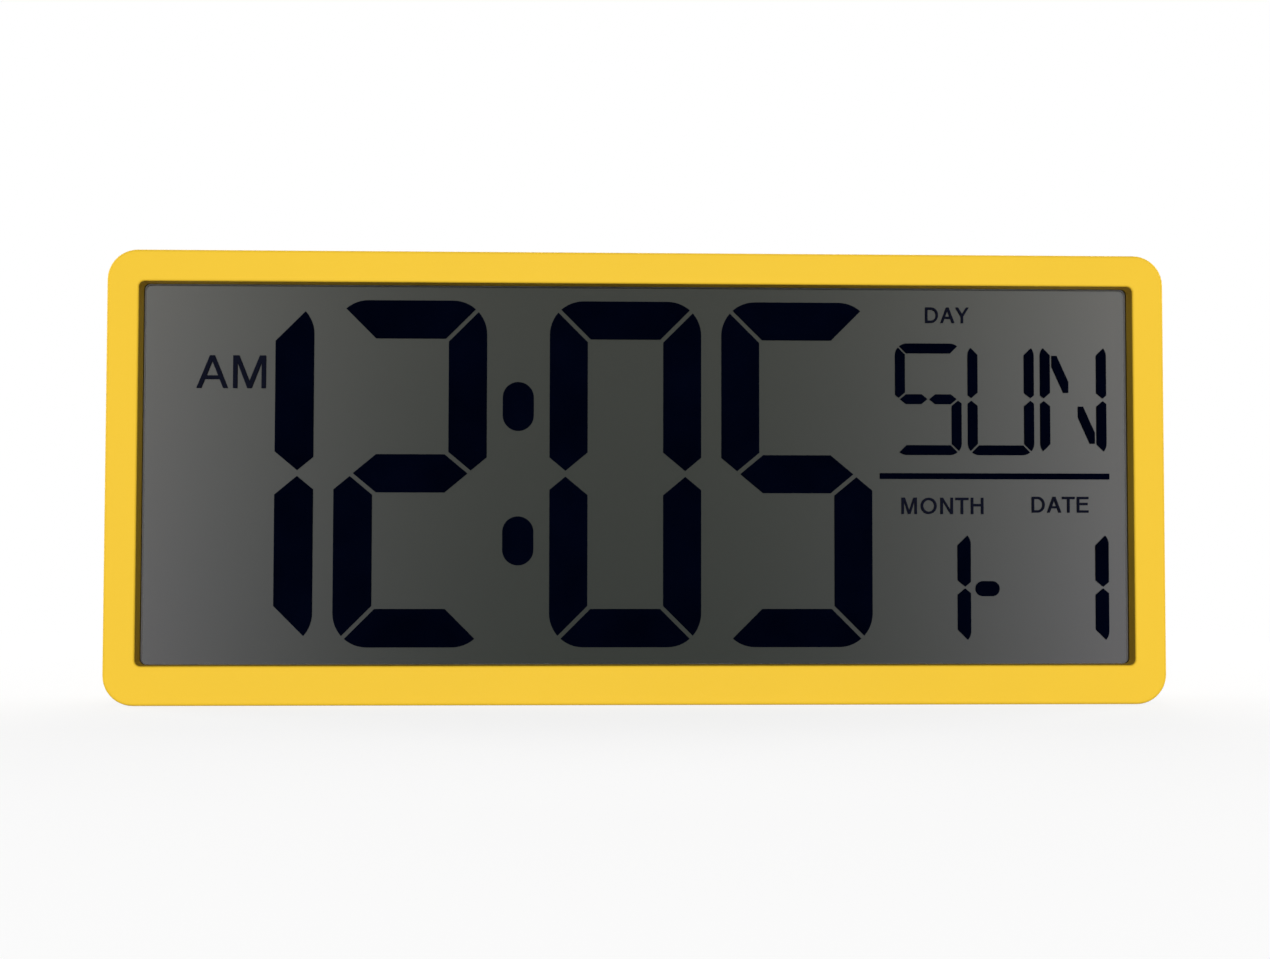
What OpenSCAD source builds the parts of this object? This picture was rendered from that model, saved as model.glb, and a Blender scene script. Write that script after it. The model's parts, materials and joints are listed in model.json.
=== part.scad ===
// Large digital clock: a shallow framed case with a wide segment display, rear buttons, two AA cells,
// a sliding battery door, a fold-out stand and two keyholes for hanging.
// Millimetres. X runs to the right, Y from front to back and Z up.
// The origin lies on the base, under the middle of the case.

/* [Window] */
// Width of the display window
window_w = 348; // [330:0.5:380]
// Height of the display window
window_h = 133.3; // [125:0.1:150]
// Rounding of the window's corners, seen from the front
window_r = 2; // [1:0.5:4]
// Rounding of the window's front edge
window_edge_r = 0.8; // [0.4:0.1:1.2]
// Depth of the window's inner wall, from the frame's face to the gasket
window_depth = 6.4; // [5.5:0.1:10]

/* [Frame] */
// Width of the frame's face left and right of the window
side_band = 11; // [10.5:0.5:20]
// Height of the frame's face above the window
top_band = 11; // [10.5:0.5:20]
// Height of the frame's face under the window
bottom_band = 13.7; // [11:0.1:20]
// Rounding of the case's four corners, seen from the front
corner_r = 10.5; // [6:0.5:16]
// Rounding of the frame's outer front edge
front_edge_r = 1.2; // [0.5:0.1:2]
// Thickness of the frame's face
face_t = 2.4; // [1.6:0.1:3]
// Thickness of the case's side walls
wall_t = 2.2; // [1.6:0.1:2.6]
// Depth of the frame from its face to the parting line
frame_d = 20; // [17:0.5:23]

/* [Rear cover] */
// Thickness of the back panel
back_t = 2.2; // [1.8:0.1:2.6]
// Rounding of the cover's outer back edge
back_edge_r = 3; // [1:0.1:3.2]
// Width of the shadow gap at the parting line
seam_gap = 0.3; // [0.1:0.1:0.6]
// Thickness of the lip that centres the cover in the frame
lip_t = 1; // [0.8:0.1:1.4]
// Length of the lip inside the frame
lip_l = 2; // [1:0.5:3]
// Clearance between the lip and the frame
lip_clear = 0.2; // [0.1:0.05:0.3]

/* [Display stack] */
// Overlap of the display behind the window's rim
stack_lap = 2.2; // [2:0.1:2.6]
// Clearance round the display in its pocket
pocket_clear = 0.3; // [0.2:0.05:0.5]
// Thickness of the fence round the pocket
fence_t = 1.2; // [0.8:0.1:1.6]
// Thickness of the lens gasket
gasket_t = 0.3; // [0.2:0.1:1]
// Thickness of the clear lens
lens_t = 1.2; // [1:0.1:2]
// Thickness of the polarizing film
film_t = 0.2; // [0.1:0.05:0.4]
// Thickness of each display glass
glass_t = 0.7; // [0.5:0.1:1.5]
// Gap between the two display glasses
cell_gap = 0.3; // [0.2:0.05:0.5]
// Gap between the segments and either glass
segment_clear = 0.05; // [0.02:0.01:0.08]
// Thickness of the reflector behind the glass
reflector_t = 0.3; // [0.2:0.05:0.5]
// Width of the seal between the glasses
seal_w = 1.4; // [1:0.1:1.8]
// Thickness of the bracket that clamps the display
bracket_t = 2; // [1.6:0.1:2.5]
// Cover of the window's top edge by the rear glass
glass_cover = 0.3; // [0.2:0.05:0.4]

/* [Time digits] */
// Margin above the digits in the window
digit_high = 5; // [4:0.1:10]
// Margin under the digits in the window
digit_low = 5.7; // [4:0.1:10]
// Width of a digit
digit_w = 53.8; // [46:0.1:58]
// Gap between neighbouring digits
digit_gap = 7.2; // [4:0.1:10]
// Stroke of a digit
digit_stroke = 13.5; // [9:0.1:15]
// Rounding of a digit's outer corners
digit_r = 12; // [6:0.5:14]
// Gap between neighbouring segments of a digit
digit_slit = 1.5; // [0.8:0.1:2]
// Slope of a segment's pointed end: its length for a unit of half its stroke
bevel = 1.2; // [0.8:0.1:1.4]
// Distance of an upright's point from the middle line, for a unit of the slit
tip_share = 0.69; // [0.5:0.01:0.9]
// Space between hour and minute digits, for the colon
colon_room = 22.2; // [18:0.1:28]
// Width of a colon dot
colon_w = 11; // [6:0.5:14]
// Height of a colon dot
colon_h = 17.3; // [15:0.1:20]
// Distance between the colon's two dots, centre to centre
colon_pitch = 47.6; // [30:0.1:60]
// Gap between the time digits and the calendar's rule
time_gap = 2.8; // [1:0.1:5]

/* [Calendar] */
// Margin between the weekday letters and the window's right edge
calendar_margin = 6.6; // [4:0.1:10]
// Distance from the window's top edge to the weekday letters
letter_drop = 19.4; // [14:0.1:22]
// Width of a weekday letter
letter_w = 23.8; // [20:0.1:26]
// Height of a weekday letter
letter_h = 39.9; // [34:0.1:44]
// Gap between neighbouring letters
letter_gap = 2.3; // [1:0.1:3]
// Stroke of a weekday letter
letter_stroke = 3.5; // [2.5:0.1:4.5]
// Rounding of a letter's outer corners
letter_r = 4.2; // [1:0.1:6]
// Gap between neighbouring segments of a letter
letter_slit = 0.7; // [0.4:0.05:1]
// Gap between the letters and the rule under them
rule_drop = 6.5; // [4:0.1:8]
// Thickness of the rule
rule_t = 2.1; // [1:0.1:3]
// Reach of the rule past the letters on the left
rule_left = 5.6; // [2:0.1:8]
// Reach of the rule past the letters on the right
rule_right = 0.9; // [0.5:0.1:2]
// Room under the rule for the month and date labels
date_drop = 18.6; // [14:0.1:20]
// Margin under the date digits in the window
date_low = 6.8; // [5:0.1:9]
// Reach of the date digits past the letters on the right
date_reach = 0.4; // [0:0.1:1]
// Width of a date digit
date_w = 22; // [18:0.5:24]
// Stroke of a date digit
date_stroke = 4.7; // [3:0.1:6]
// Rounding of a date digit's outer corners
date_r = 4.5; // [1:0.1:6]
// Gap between neighbouring segments of a date digit
date_slit = 0.45; // [0.4:0.05:1]
// Distance between the month's and the date's last digit
date_pitch = 49.6; // [46:0.1:54]
// Length of the dash between month and date
dash_l = 8.6; // [7:0.1:9.6]
// Thickness of the dash
dash_t = 5.4; // [3:0.1:6]
// Gap between the month's last digit and the dash
dash_gap = 1.7; // [0.8:0.1:2.2]
// Distance of the dash under the middle of the date digits
dash_drop = 0.4; // [0:0.1:1]

/* [Fasteners] */
// Radius of the screw bosses in the frame
boss_r = 2.5; // [2.2:0.1:2.6]
// Distance from the case's outside to the screw centres
boss_in = 5.9; // [5.7:0.1:6.2]
// Distance from the case's sides to the outer case screws
screw_side = 24; // [20:0.5:36]
// Distance of the two lower inner screws from the middle
screw_low_x = 62; // [54:1:90]
// Radius of a screw's shank
screw_r = 1.15; // [1:0.05:1.3]
// Radius of a screw's head
head_r = 2.1; // [1.8:0.05:2.2]
// Height of a screw's head
head_h = 1.6; // [1.2:0.1:2]
// Length of the cross recess in a screw's head
cross_l = 2.8; // [2:0.1:3.2]
// Width of the cross recess in a screw's head
cross_w = 0.7; // [0.5:0.1:1]
// Clearance of a shank in its pilot hole
pilot_clear = 0.05; // [0.02:0.01:0.1]
// Clearance of a head or shank in the cover
screw_clear = 0.35; // [0.2:0.05:0.5]
// Grip of a screw in the frame
screw_grip = 8; // [5:0.5:10]
// Floor left under a case screw's head
post_floor = 2.5; // [1.5:0.1:4]
// Floor left under a board screw in the bracket
blind_floor = 0.4; // [0.3:0.1:0.8]
// Wall round a case screw's well in the cover
post_wall = 1.4; // [1.2:0.1:1.8]
// Height of the lower bracket screws above the case's bottom
ear_low_z = 40; // [30:1:52]
// Distance of the upper bracket screws from the case's top
ear_drop = 33; // [28:1:40]

/* [Circuit board] */
// Width of the circuit board
board_w = 256; // [250:1:280]
// Thickness of the circuit board
board_t = 1.6; // [1:0.1:2]
// Gap between the battery box and the board's lower edge
board_gap = 1.8; // [1:0.1:4]
// Distance of the board screws from the board's ends
board_screw_in = 20; // [14:1:30]
// Distance of the board screws from the board's upper and lower edges
board_screw_edge = 8; // [6:0.5:10]
// Thickness of a connector strip
strip_t = 1.3; // [1:0.05:1.5]
// Distance from the middle to a connector strip
strip_in = 12; // [8:1:20]
// Length of a connector strip
strip_l = 104; // [80:1:110]
// Clearance round a connector strip in its slot
strip_clear = 0.15; // [0.1:0.05:0.2]

/* [Board parts] */
// Radius of the epoxy blob over the controller
blob_r = 9; // [6:0.5:12]
// Height of the epoxy blob
blob_h = 2.2; // [1.5:0.1:3]
// Distance from the outer button to the blob's middle
blob_x = 26; // [22:1:32]
// Radius of the quartz crystal's can
crystal_r = 1; // [0.8:0.1:1.5]
// Length of the quartz crystal's can
crystal_l = 6; // [5:0.5:8]
// Radius of the capacitor
capacitor_r = 2.5; // [2:0.1:3.2]
// Height of the capacitor
capacitor_h = 6.5; // [5:0.5:9]
// Length of a chip resistor
chip_l = 2; // [1.6:0.1:3.2]
// Width of a chip resistor
chip_w = 1.25; // [0.8:0.05:1.6]
// Height of a chip resistor
chip_h = 0.6; // [0.4:0.1:1]
// Number of chip resistors
chip_count = 6; // [3:1:7]
// Distance between neighbouring chip resistors
chip_pitch = 5; // [3:0.5:5.5]
// Gap between neighbouring parts on the board
part_gap = 3; // [2:0.5:4]

/* [Buttons] */
// Radius of a button
button_r = 4.5; // [3.5:0.1:5]
// Distance between neighbouring buttons
button_pitch = 22; // [18:0.5:26]
// Distance from the case's top to the row of buttons
button_drop = 30; // [26:0.5:36]
// Travel of a button
button_travel = 0.5; // [0.3:0.1:0.8]
// Clearance round a button and round a plunger
button_clear = 0.3; // [0.2:0.05:0.4]
// Depth of a button's face under the back panel
button_sunk = 0.3; // [0.1:0.1:0.6]
// Depth of the dished well round a button
button_well = 1; // [0.6:0.1:1.2]
// Width of the well round a button
button_well_w = 2.5; // [1:0.1:3]
// Radius of a button's stem
stem_r = 2.2; // [1.8:0.1:3]
// Width of a button's retaining flange
flange_w = 1.1; // [0.8:0.1:1.5]
// Thickness of a button's retaining flange
flange_t = 1; // [0.8:0.1:1.5]
// Side of a push switch's body
switch_w = 6; // [5:0.1:8]
// Height of a push switch's body
switch_h = 3.5; // [3:0.1:4.5]
// Radius of a push switch's plunger
plunger_r = 1.7; // [1.2:0.1:2]
// Reach of the plunger out of the switch's body
plunger_out = 3; // [2:0.1:4]

/* [Batteries] */
// Diameter of a cell
cell_d = 14.5; // [13.5:0.1:14.5]
// Length of a cell with its terminal
cell_l = 50.5; // [49:0.1:52]
// Radius of a cell's positive terminal
nub_r = 2.75; // [2:0.05:3]
// Length of a cell's positive terminal
nub_l = 1.5; // [1:0.1:2]
// Clearance round a cell
cell_clear = 0.4; // [0.2:0.05:0.6]
// Gap between the two cells
cell_space = 1; // [0.5:0.1:2]
// Height of the battery box's middle above the case's bottom
box_z = 86; // [82:0.5:88]
// Thickness of the battery box's floor
box_floor = 1.4; // [1:0.1:2]
// Thickness of the battery box's end walls
box_wall = 1.6; // [1.2:0.1:2]
// Thickness of the battery box's long walls, which carry the door
box_rail = 2.8; // [2.4:0.1:3.5]
// Gap between the display bracket and what lies behind it
bracket_gap = 2.8; // [0.3:0.1:4]
// Thickness of the contact plates
contact_t = 0.4; // [0.3:0.05:0.6]
// Side of a contact plate
contact_w = 12; // [10:0.1:13]
// Width of a contact's soldered tail
tail_w = 2.5; // [2:0.1:3]
// Clearance round a contact's tail
tail_clear = 0.2; // [0.1:0.05:0.3]
// Length of a contact spring
spring_l = 7; // [6:0.5:9]
// Radius of a contact spring's wire
spring_wire_r = 0.35; // [0.25:0.05:0.4]
// Mean radius of a contact spring at its plate
spring_wide_r = 4.2; // [3.6:0.1:5]
// Mean radius of a contact spring at the cell
spring_narrow_r = 3; // [2:0.1:3.4]
// Turns of a contact spring
spring_turns = 4.5; // [3:0.5:4.5]

/* [Battery door] */
// Thickness of the door
door_t = 2.4; // [2:0.1:3]
// Clearance round the door and its tongues
door_clear = 0.3; // [0.2:0.05:0.4]
// Width of the door's tongues
tongue_w = 1.2; // [0.8:0.1:1.4]
// Thickness of the door's tongues
tongue_t = 1.1; // [0.8:0.1:1.3]
// Number of grip grooves in the door
grip_count = 5; // [3:1:6]
// Distance between grip grooves
grip_pitch = 3; // [2:0.1:3.5]
// Width of a grip groove
grip_w = 1.2; // [0.8:0.1:1.6]
// Depth of a grip groove
grip_d = 0.6; // [0.3:0.1:0.9]
// Length of a grip groove
grip_l = 18; // [12:1:22]

/* [Stand] */
// Width of the stand's leg
stand_w = 72; // [60:1:80]
// Thickness of the stand's leg
stand_t = 5; // [4.4:0.1:5.4]
// Height of the stand's hinge above the case's bottom
stand_z = 104; // [90:1:106]
// Opening angle of the stand
stand_open = 30; // [20:1:40]
// Clearance at the leg's sides and its stop
stand_clear = 0.4; // [0.3:0.05:0.6]
// Reach of the leg above its hinge
heel = 2.6; // [2.4:0.1:3]
// Height of the leg's lower end above the case's bottom
stand_lift = 2; // [1.6:0.1:3]
// Rounding of the leg's lower corners
stand_r = 6; // [3:0.5:8]
// Radius of the hinge pin
pin_r = 1.5; // [1.2:0.05:1.6]
// Running clearance of the leg on the pin
pin_clear = 0.08; // [0.04:0.01:0.1]
// Clearance of the pin in the cover
pin_seat = 0.02; // [0.01:0.01:0.03]
// Length of the pin's seats in the cover
pin_grip = 5; // [3:0.5:8]
// Wall round the pin's seats
pin_wall = 2; // [1.5:0.1:2.4]
// Thickness of the walls round the stand's recess
tub_t = 1.6; // [1.2:0.1:2]
// Width of the finger slot in the leg
finger_w = 26; // [20:1:32]
// Height of the finger slot in the leg
finger_h = 11; // [9:0.5:13]
// Height of the finger slot's middle above the case's bottom
finger_z = 15; // [13:0.5:20]
// Depth of the finger well behind the leg
finger_d = 5; // [4:0.5:7]
// Margin of the finger well round the finger slot
well_margin = 1.5; // [1:0.1:2]
// Width of the rubber foot
foot_w = 56; // [40:1:58]
// Thickness of the rubber foot
foot_t = 2.4; // [1.6:0.1:3]
// Height of the rubber foot
foot_h = 2.2; // [1.6:0.1:3]
// Reach of the rubber foot under the leg
foot_out = 0.9; // [0.4:0.1:1.2]
// Width of the sunk panel's border on the leg's outside
leg_border = 7; // [5:0.5:10]
// Depth of the sunk panel on the leg's outside
leg_sunk = 0.6; // [0.3:0.1:0.8]

/* [Wall hooks] */
// Distance between the two keyholes
keyhole_pitch = 200; // [180:1:220]
// Distance from the case's top to the keyholes' round ends
keyhole_drop = 31; // [28:0.5:40]
// Radius of a keyhole's round end, for the screw's head
keyhole_r = 4.2; // [3.8:0.1:4.8]
// Half the width of a keyhole's slot, for the screw's shank
keyhole_slot_r = 2.1; // [1.8:0.1:2.3]
// Length of a keyhole's slot, centre to centre
keyhole_slot_l = 8.5; // [7:0.5:10]

/* [Sunk field] */
// Width of the sunk field on the back
plate_w = 58; // [40:1:66]
// Height of the sunk field on the back
plate_h = 30; // [20:1:40]
// Distance from the case's side to the sunk field
plate_side = 40; // [36:1:60]
// Depth of the sunk field
plate_sunk = 0.4; // [0.2:0.1:0.6]

/* [Hidden] */
$fn = 64;
cut = 1;

// Case
case_w = window_w + 2 * side_band;
case_h = window_h + top_band + bottom_band;
window_z = bottom_band + window_h / 2;
rim_w = max(wall_t, front_edge_r, back_edge_r) + cut;
ring_t = stack_lap + pocket_clear + fence_t;

// Depths of the layers, counted from the frame's face
gasket_y = window_depth;
lens_y = gasket_y + gasket_t;
film_y = lens_y + lens_t;
front_glass_y = film_y + film_t;
cell_y = front_glass_y + glass_t;
rear_glass_y = cell_y + cell_gap;
reflector_y = rear_glass_y + glass_t;
bracket_y = reflector_y + reflector_t;
board_y = bracket_y + bracket_t;
board_back = board_y + board_t;
box_y = board_y + bracket_gap;
floor_y = box_y + box_floor;
cell_axis_y = floor_y + cell_clear + cell_d / 2;
door_y = cell_axis_y + cell_d / 2 + cell_clear;
case_d = door_y + door_t;
panel_y = case_d - back_t;
cover_y = frame_d + seam_gap;

// Display
stack_w = window_w + 2 * stack_lap;
stack_h = window_h + 2 * stack_lap;
ledge = stack_lap - glass_cover;
digit_h = window_h - digit_low - digit_high;
digit_z = bottom_band + digit_low + digit_h / 2;
letters_right = window_w / 2 - calendar_margin;
letters_left = letters_right - 3 * letter_w - 2 * letter_gap;
letters_top = bottom_band + window_h - letter_drop;
rule_top = letters_top - letter_h - rule_drop;
date_top = rule_top - rule_t - date_drop;
date_h = date_top - bottom_band - date_low;
date_z = date_top - date_h / 2;
date_right = letters_right + date_reach;
time_right = letters_left - rule_left - time_gap;
minutes_left = time_right - 2 * digit_w - digit_gap;
hours_right = minutes_left - colon_room;
colon_x = minutes_left - colon_room / 2;

// Fasteners
case_screw_places = [
    for (x = [-1, 1], z = [boss_in, case_h - boss_in]) [x * (case_w / 2 - screw_side), z],
    for (x = [-1, 1]) [x * screw_low_x, boss_in],
    [0, case_h - boss_in]
];
ear_places = [
    for (x = [-1, 1], z = [ear_low_z, case_h - ear_drop]) [x * (case_w / 2 - boss_in), z]
];
well_r = head_r + screw_clear;
bracket_screw_l = screw_grip - bracket_t;

// Battery box
box_h = 2 * cell_d + cell_space + 2 * cell_clear;
box_low = box_z - box_h / 2;
box_high = box_z + box_h / 2;
box_right = case_w / 2 - wall_t - lip_clear - lip_t - box_wall + cut / 2;
box_left = box_right - cell_l - spring_l - 2 * contact_t;
upper_z = box_z + (cell_d + cell_space) / 2;
lower_z = box_z - (cell_d + cell_space) / 2;
rail_top = box_high + box_rail;
door_left = box_left - box_wall + door_clear;
groove_w = tongue_w + door_clear;
tail_hole = tail_w + 2 * tail_clear;

// Circuit board
board_low = rail_top + board_gap;
board_high = bottom_band + window_h + stack_lap;
strip_z = bottom_band + window_h + stack_lap - ledge / 2;
board_screw_places = [
    for (x = [-1, 1], z = [board_low + board_screw_edge, board_high - board_screw_edge])
        [x * (board_w / 2 - board_screw_in), z]
];
board_screw_l = board_t + bracket_t - blind_floor;
tail_z = board_low + tail_w;
tail_end_y = board_y + tail_clear;
outer_tail_x = box_left - box_wall - tail_clear - contact_t;

// Buttons
BUTTONS = ["mode", "set", "plus", "minus", "format"];
button_z = case_h - button_drop;
flange_y = panel_y - button_clear - flange_t;
plunger_top = board_back + switch_h + plunger_out;
plunger_low = board_back + switch_h / 2;

// Places of the parts on the board, beside the row of switches
row_half = (len(BUTTONS) - 1) / 2 * button_pitch;
blob_place = [-row_half - blob_x, button_z];
crystal_place = [blob_place[0], button_z - blob_r - part_gap - crystal_r];
capacitor_place = [row_half + switch_w / 2 + part_gap + capacitor_r, button_z];
chip_place = [capacitor_place[0] + capacitor_r + part_gap, button_z];

// Stand
hinge_y = case_d - stand_t / 2;
stop_reach = stand_t / 2 * cos(stand_open) + heel * sin(stand_open);
tub_y = hinge_y - stop_reach - stand_clear;
tub_high = stand_z + norm([heel, stand_t / 2]) + stand_clear;
tub_half = stand_w / 2 + stand_clear;

// Contact springs
spring_rings = 8;
spring_sides = 6;

// Moves depths counted from the frame's face into the part's frame
module in_frame() {
    translate([0, -case_d / 2, 0]) children();
}

// Extrudes an outline seen from the front between two depths
module slab(from, to) {
    translate([0, to, 0]) rotate([90, 0, 0]) linear_extrude(to - from) children();
}

// Round bar along the depth
module rod(r, from, to, place) {
    translate([place[0], to, place[1]]) rotate([90, 0, 0]) cylinder(r = r, h = to - from);
}

// Box between two corners given as x, depth and height
module block(low, high) {
    translate(low) cube(high - low);
}

module rounded_rect(w, h, r) {
    square([w - 2 * r, h], center = true);
    square([w, h - 2 * r], center = true);
    for (x = [-1, 1], y = [-1, 1]) translate([x * (w / 2 - r), y * (h / 2 - r)]) circle(r);
}

// Rectangle about the origin, with sharp corners
module plain_rect(w, h) {
    square([w, h], center = true);
}

// What a rounding takes off a corner at the origin whose material lies towards -x and +y
module corner_waste(r) {
    difference() {
        translate([-r, -cut]) square([r + cut, r + cut]);
        translate([-r, r]) circle(r);
    }
}

// Sweeps a profile round a rectangle with round corners: its x counts outwards from the corner centres
module around(w, h, r) {
    for (side = [0:3]) {
        across = side % 2 == 0 ? w : h;
        along = side % 2 == 0 ? h : w;
        rotate([0, 90 * side, 0]) translate([across / 2 - r, 0, r - along / 2]) {
            linear_extrude(along - 2 * r) children();
            rotate([-90, 0, 0]) rotate_extrude(angle = 90) children();
        }
    }
}

// Front frame

module frame_rim_profile() {
    difference() {
        union() {
            translate([corner_r - rim_w, 0]) square([rim_w, face_t]);
            translate([corner_r - wall_t, 0]) square([wall_t, frame_d]);
        }
        translate([corner_r, 0]) corner_waste(front_edge_r);
    }
}

module window_ring_profile() {
    difference() {
        translate([window_r, 0]) square([ring_t, bracket_y]);
        translate([window_r, 0]) mirror([1, 0]) corner_waste(window_edge_r);
    }
}

module front_bezel() {
    color("gold") in_frame() difference() {
        union() {
            translate([0, 0, case_h / 2]) around(case_w, case_h, corner_r) frame_rim_profile();
            translate([0, 0, window_z]) around(window_w, window_h, window_r) window_ring_profile();
            slab(0, face_t) difference() {
                translate([0, case_h / 2])
                    rounded_rect(case_w - 2 * rim_w, case_h - 2 * rim_w, corner_r - rim_w);
                translate([0, window_z])
                    rounded_rect(window_w + 2 * ring_t, window_h + 2 * ring_t, window_r + ring_t);
            }
            for (place = case_screw_places) rod(boss_r, face_t / 2, frame_d, place);
            for (place = ear_places) rod(boss_r, face_t / 2, bracket_y, place);
        }
        slab(gasket_y, bracket_y + cut) translate([0, window_z])
            plain_rect(stack_w + 2 * pocket_clear, stack_h + 2 * pocket_clear);
        for (place = case_screw_places)
            rod(screw_r + pilot_clear, frame_d - screw_grip - cut, frame_d + cut, place);
        for (place = ear_places)
            rod(screw_r + pilot_clear, bracket_y - bracket_screw_l - cut, bracket_y + cut, place);
    }
}

// Rear cover

module cover_rim_profile() {
    difference() {
        union() {
            translate([corner_r - rim_w, panel_y]) square([rim_w, back_t]);
            translate([corner_r - wall_t, cover_y]) square([wall_t, case_d - cover_y]);
        }
        translate([corner_r, case_d]) mirror([0, 1]) corner_waste(back_edge_r);
    }
}

module cover_lip() {
    inset = wall_t + lip_clear;
    inner = inset + lip_t;
    difference() {
        slab(frame_d - lip_l, panel_y) difference() {
            rounded_rect(case_w - 2 * inset, case_h - 2 * inset, corner_r - inset);
            rounded_rect(case_w - 2 * inner, case_h - 2 * inner, corner_r - inner);
        }
        translate([0, 0, -case_h / 2])
            for (place = case_screw_places) rod(boss_r + lip_clear, frame_d - lip_l - cut, frame_d, place);
    }
}

module stand_tub() {
    outer = tub_half + tub_t;
    well_x = finger_w / 2 + well_margin + tub_t;
    well_z = finger_h / 2 + well_margin + tub_t;
    block([-outer, tub_y - tub_t, wall_t / 2], [outer, panel_y + back_t / 2, tub_high + tub_t]);
    block([-well_x, tub_y - finger_d - tub_t, finger_z - well_z], [well_x, tub_y, finger_z + well_z]);
    half = tub_half + pin_grip;
    seat = pin_r + pin_wall;
    block([-half, hinge_y - seat, stand_z - seat], [half, panel_y + back_t / 2, stand_z + seat]);
}

module stand_tub_space() {
    well_x = finger_w / 2 + well_margin;
    well_z = finger_h / 2 + well_margin;
    block([-tub_half, tub_y, -cut], [tub_half, case_d + cut, tub_high]);
    block([-well_x, tub_y - finger_d, finger_z - well_z], [well_x, tub_y + cut, finger_z + well_z]);
    pin_hole(pin_r + pin_seat, tub_half + pin_grip);
}

module pin_hole(r, half) {
    translate([-half, hinge_y, stand_z]) rotate([0, 90, 0]) cylinder(r = r, h = 2 * half);
}

module battery_box() {
    block([box_left - box_wall, box_y, box_low - box_rail],
        [box_right + box_wall, panel_y + back_t / 2, rail_top]);
    block([box_right, cover_y, box_low - box_rail], [case_w / 2 - wall_t / 2, panel_y, rail_top]);
}

module battery_box_space() {
    block([box_left, floor_y, box_low], [box_right, case_d + cut, box_high]);
    block([box_left - box_wall, door_y - door_clear, box_low], [case_w / 2 + cut, case_d + cut, box_high]);
    block([box_left - box_wall, door_y - door_clear, box_low - groove_w],
        [case_w / 2 + cut, door_y + tongue_t + door_clear, box_high + groove_w]);
    block([box_left, cell_axis_y - tail_hole / 2, box_high - cut],
        [box_left + contact_t + tail_clear, cell_axis_y + tail_hole / 2, rail_top + cut]);
    block([box_left - box_wall - cut, cell_axis_y - tail_hole / 2, lower_z - tail_hole / 2],
        [box_left + cut, cell_axis_y + tail_hole / 2, lower_z + tail_hole / 2]);
}

module keyhole(x) {
    z = case_h - keyhole_drop;
    rod(keyhole_r, panel_y - cut, case_d + cut, [x, z]);
    rod(keyhole_slot_r, panel_y - cut, case_d + cut, [x, z + keyhole_slot_l]);
    block([x - keyhole_slot_r, panel_y - cut, z], [x + keyhole_slot_r, case_d + cut, z + keyhole_slot_l]);
}

module rear_cover() {
    color("goldenrod") in_frame() difference() {
        union() {
            translate([0, 0, case_h / 2]) {
                around(case_w, case_h, corner_r) cover_rim_profile();
                slab(panel_y, case_d)
                    rounded_rect(case_w - 2 * rim_w, case_h - 2 * rim_w, corner_r - rim_w);
                cover_lip();
            }
            for (place = case_screw_places) rod(well_r + post_wall, frame_d, panel_y + back_t / 2, place);
            stand_tub();
            battery_box();
        }
        for (place = case_screw_places) {
            rod(screw_r + screw_clear, frame_d - cut, case_d, place);
            rod(well_r, frame_d + post_floor, case_d + cut, place);
        }
        stand_tub_space();
        battery_box_space();
        for (x = [-1, 1]) keyhole(x * keyhole_pitch / 2);
        for (i = [0:len(BUTTONS) - 1]) {
            rod(button_r + button_clear, panel_y - cut, case_d + cut, [button_x(i), button_z]);
            rod(button_r + button_well_w, case_d - button_well, case_d + cut, [button_x(i), button_z]);
        }
        slab(case_d - plate_sunk, case_d + cut)
            translate([plate_side + plate_w / 2 - case_w / 2, box_z]) plain_rect(plate_w, plate_h);
    }
}

// Screws: pan head towards the back, shank towards the front

module screw(place, seat_y, length) {
    rod(screw_r, seat_y - length, seat_y + head_h / 2, place);
    difference() {
        rod(head_r, seat_y, seat_y + head_h, place);
        translate([place[0], seat_y + head_h, place[1]])
            for (a = [0, 90]) rotate([0, a, 0]) cube([cross_l, head_h, cross_w], center = true);
    }
}

module case_screws() {
    color("silver") in_frame() for (place = case_screw_places)
        screw(place, frame_d + post_floor, post_floor + screw_grip);
}

module bracket_screws() {
    color("silver") in_frame() for (place = ear_places)
        screw(place, board_y, bracket_t + bracket_screw_l);
}

module board_screws() {
    color("silver") in_frame() for (place = board_screw_places)
        screw(place, board_back, board_screw_l);
}

// Display, from the lens back to the bracket

module stack_sheet(y, t, inset = 0) {
    slab(y, y + t) translate([0, window_z]) plain_rect(stack_w - 2 * inset, stack_h - 2 * inset);
}

// Outline of the rear glass, which stops short of the front glass at the top
module short_sheet(y, t) {
    slab(y, y + t) translate([0, window_z - ledge / 2]) plain_rect(stack_w, stack_h - ledge);
}

module lens_gasket() {
    color("dimgray") in_frame() slab(gasket_y, lens_y) translate([0, window_z]) difference() {
        plain_rect(stack_w, stack_h);
        plain_rect(window_w + 2 * glass_cover, window_h + 2 * glass_cover);
    }
}

module display_lens() {
    color("lightcyan", 0.3) in_frame() stack_sheet(lens_y, lens_t);
}

module lcd_polarizer() {
    color("gray", 0.5) in_frame() stack_sheet(film_y, film_t, glass_cover);
}

module lcd_front_glass() {
    color("lightgray", 0.3) in_frame() stack_sheet(front_glass_y, glass_t);
}

module lcd_rear_glass() {
    color("lightgray", 0.3) in_frame() short_sheet(rear_glass_y, glass_t);
}

module lcd_reflector() {
    color("slategray") in_frame() short_sheet(reflector_y, reflector_t);
}

module lcd_seal() {
    h = stack_h - ledge;
    color("black") in_frame() slab(cell_y, rear_glass_y) translate([0, window_z - ledge / 2]) difference() {
        plain_rect(stack_w, h);
        plain_rect(stack_w - 2 * seal_w, h - 2 * seal_w);
    }
}

// Segments of a digit or letter, drawn about the middle of its cell.
// A cell is given by its width, height, stroke, corner rounding and the slit between its segments.

function cell_size(w, h, stroke, r, slit) = [w, h, stroke, r, slit];

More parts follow.
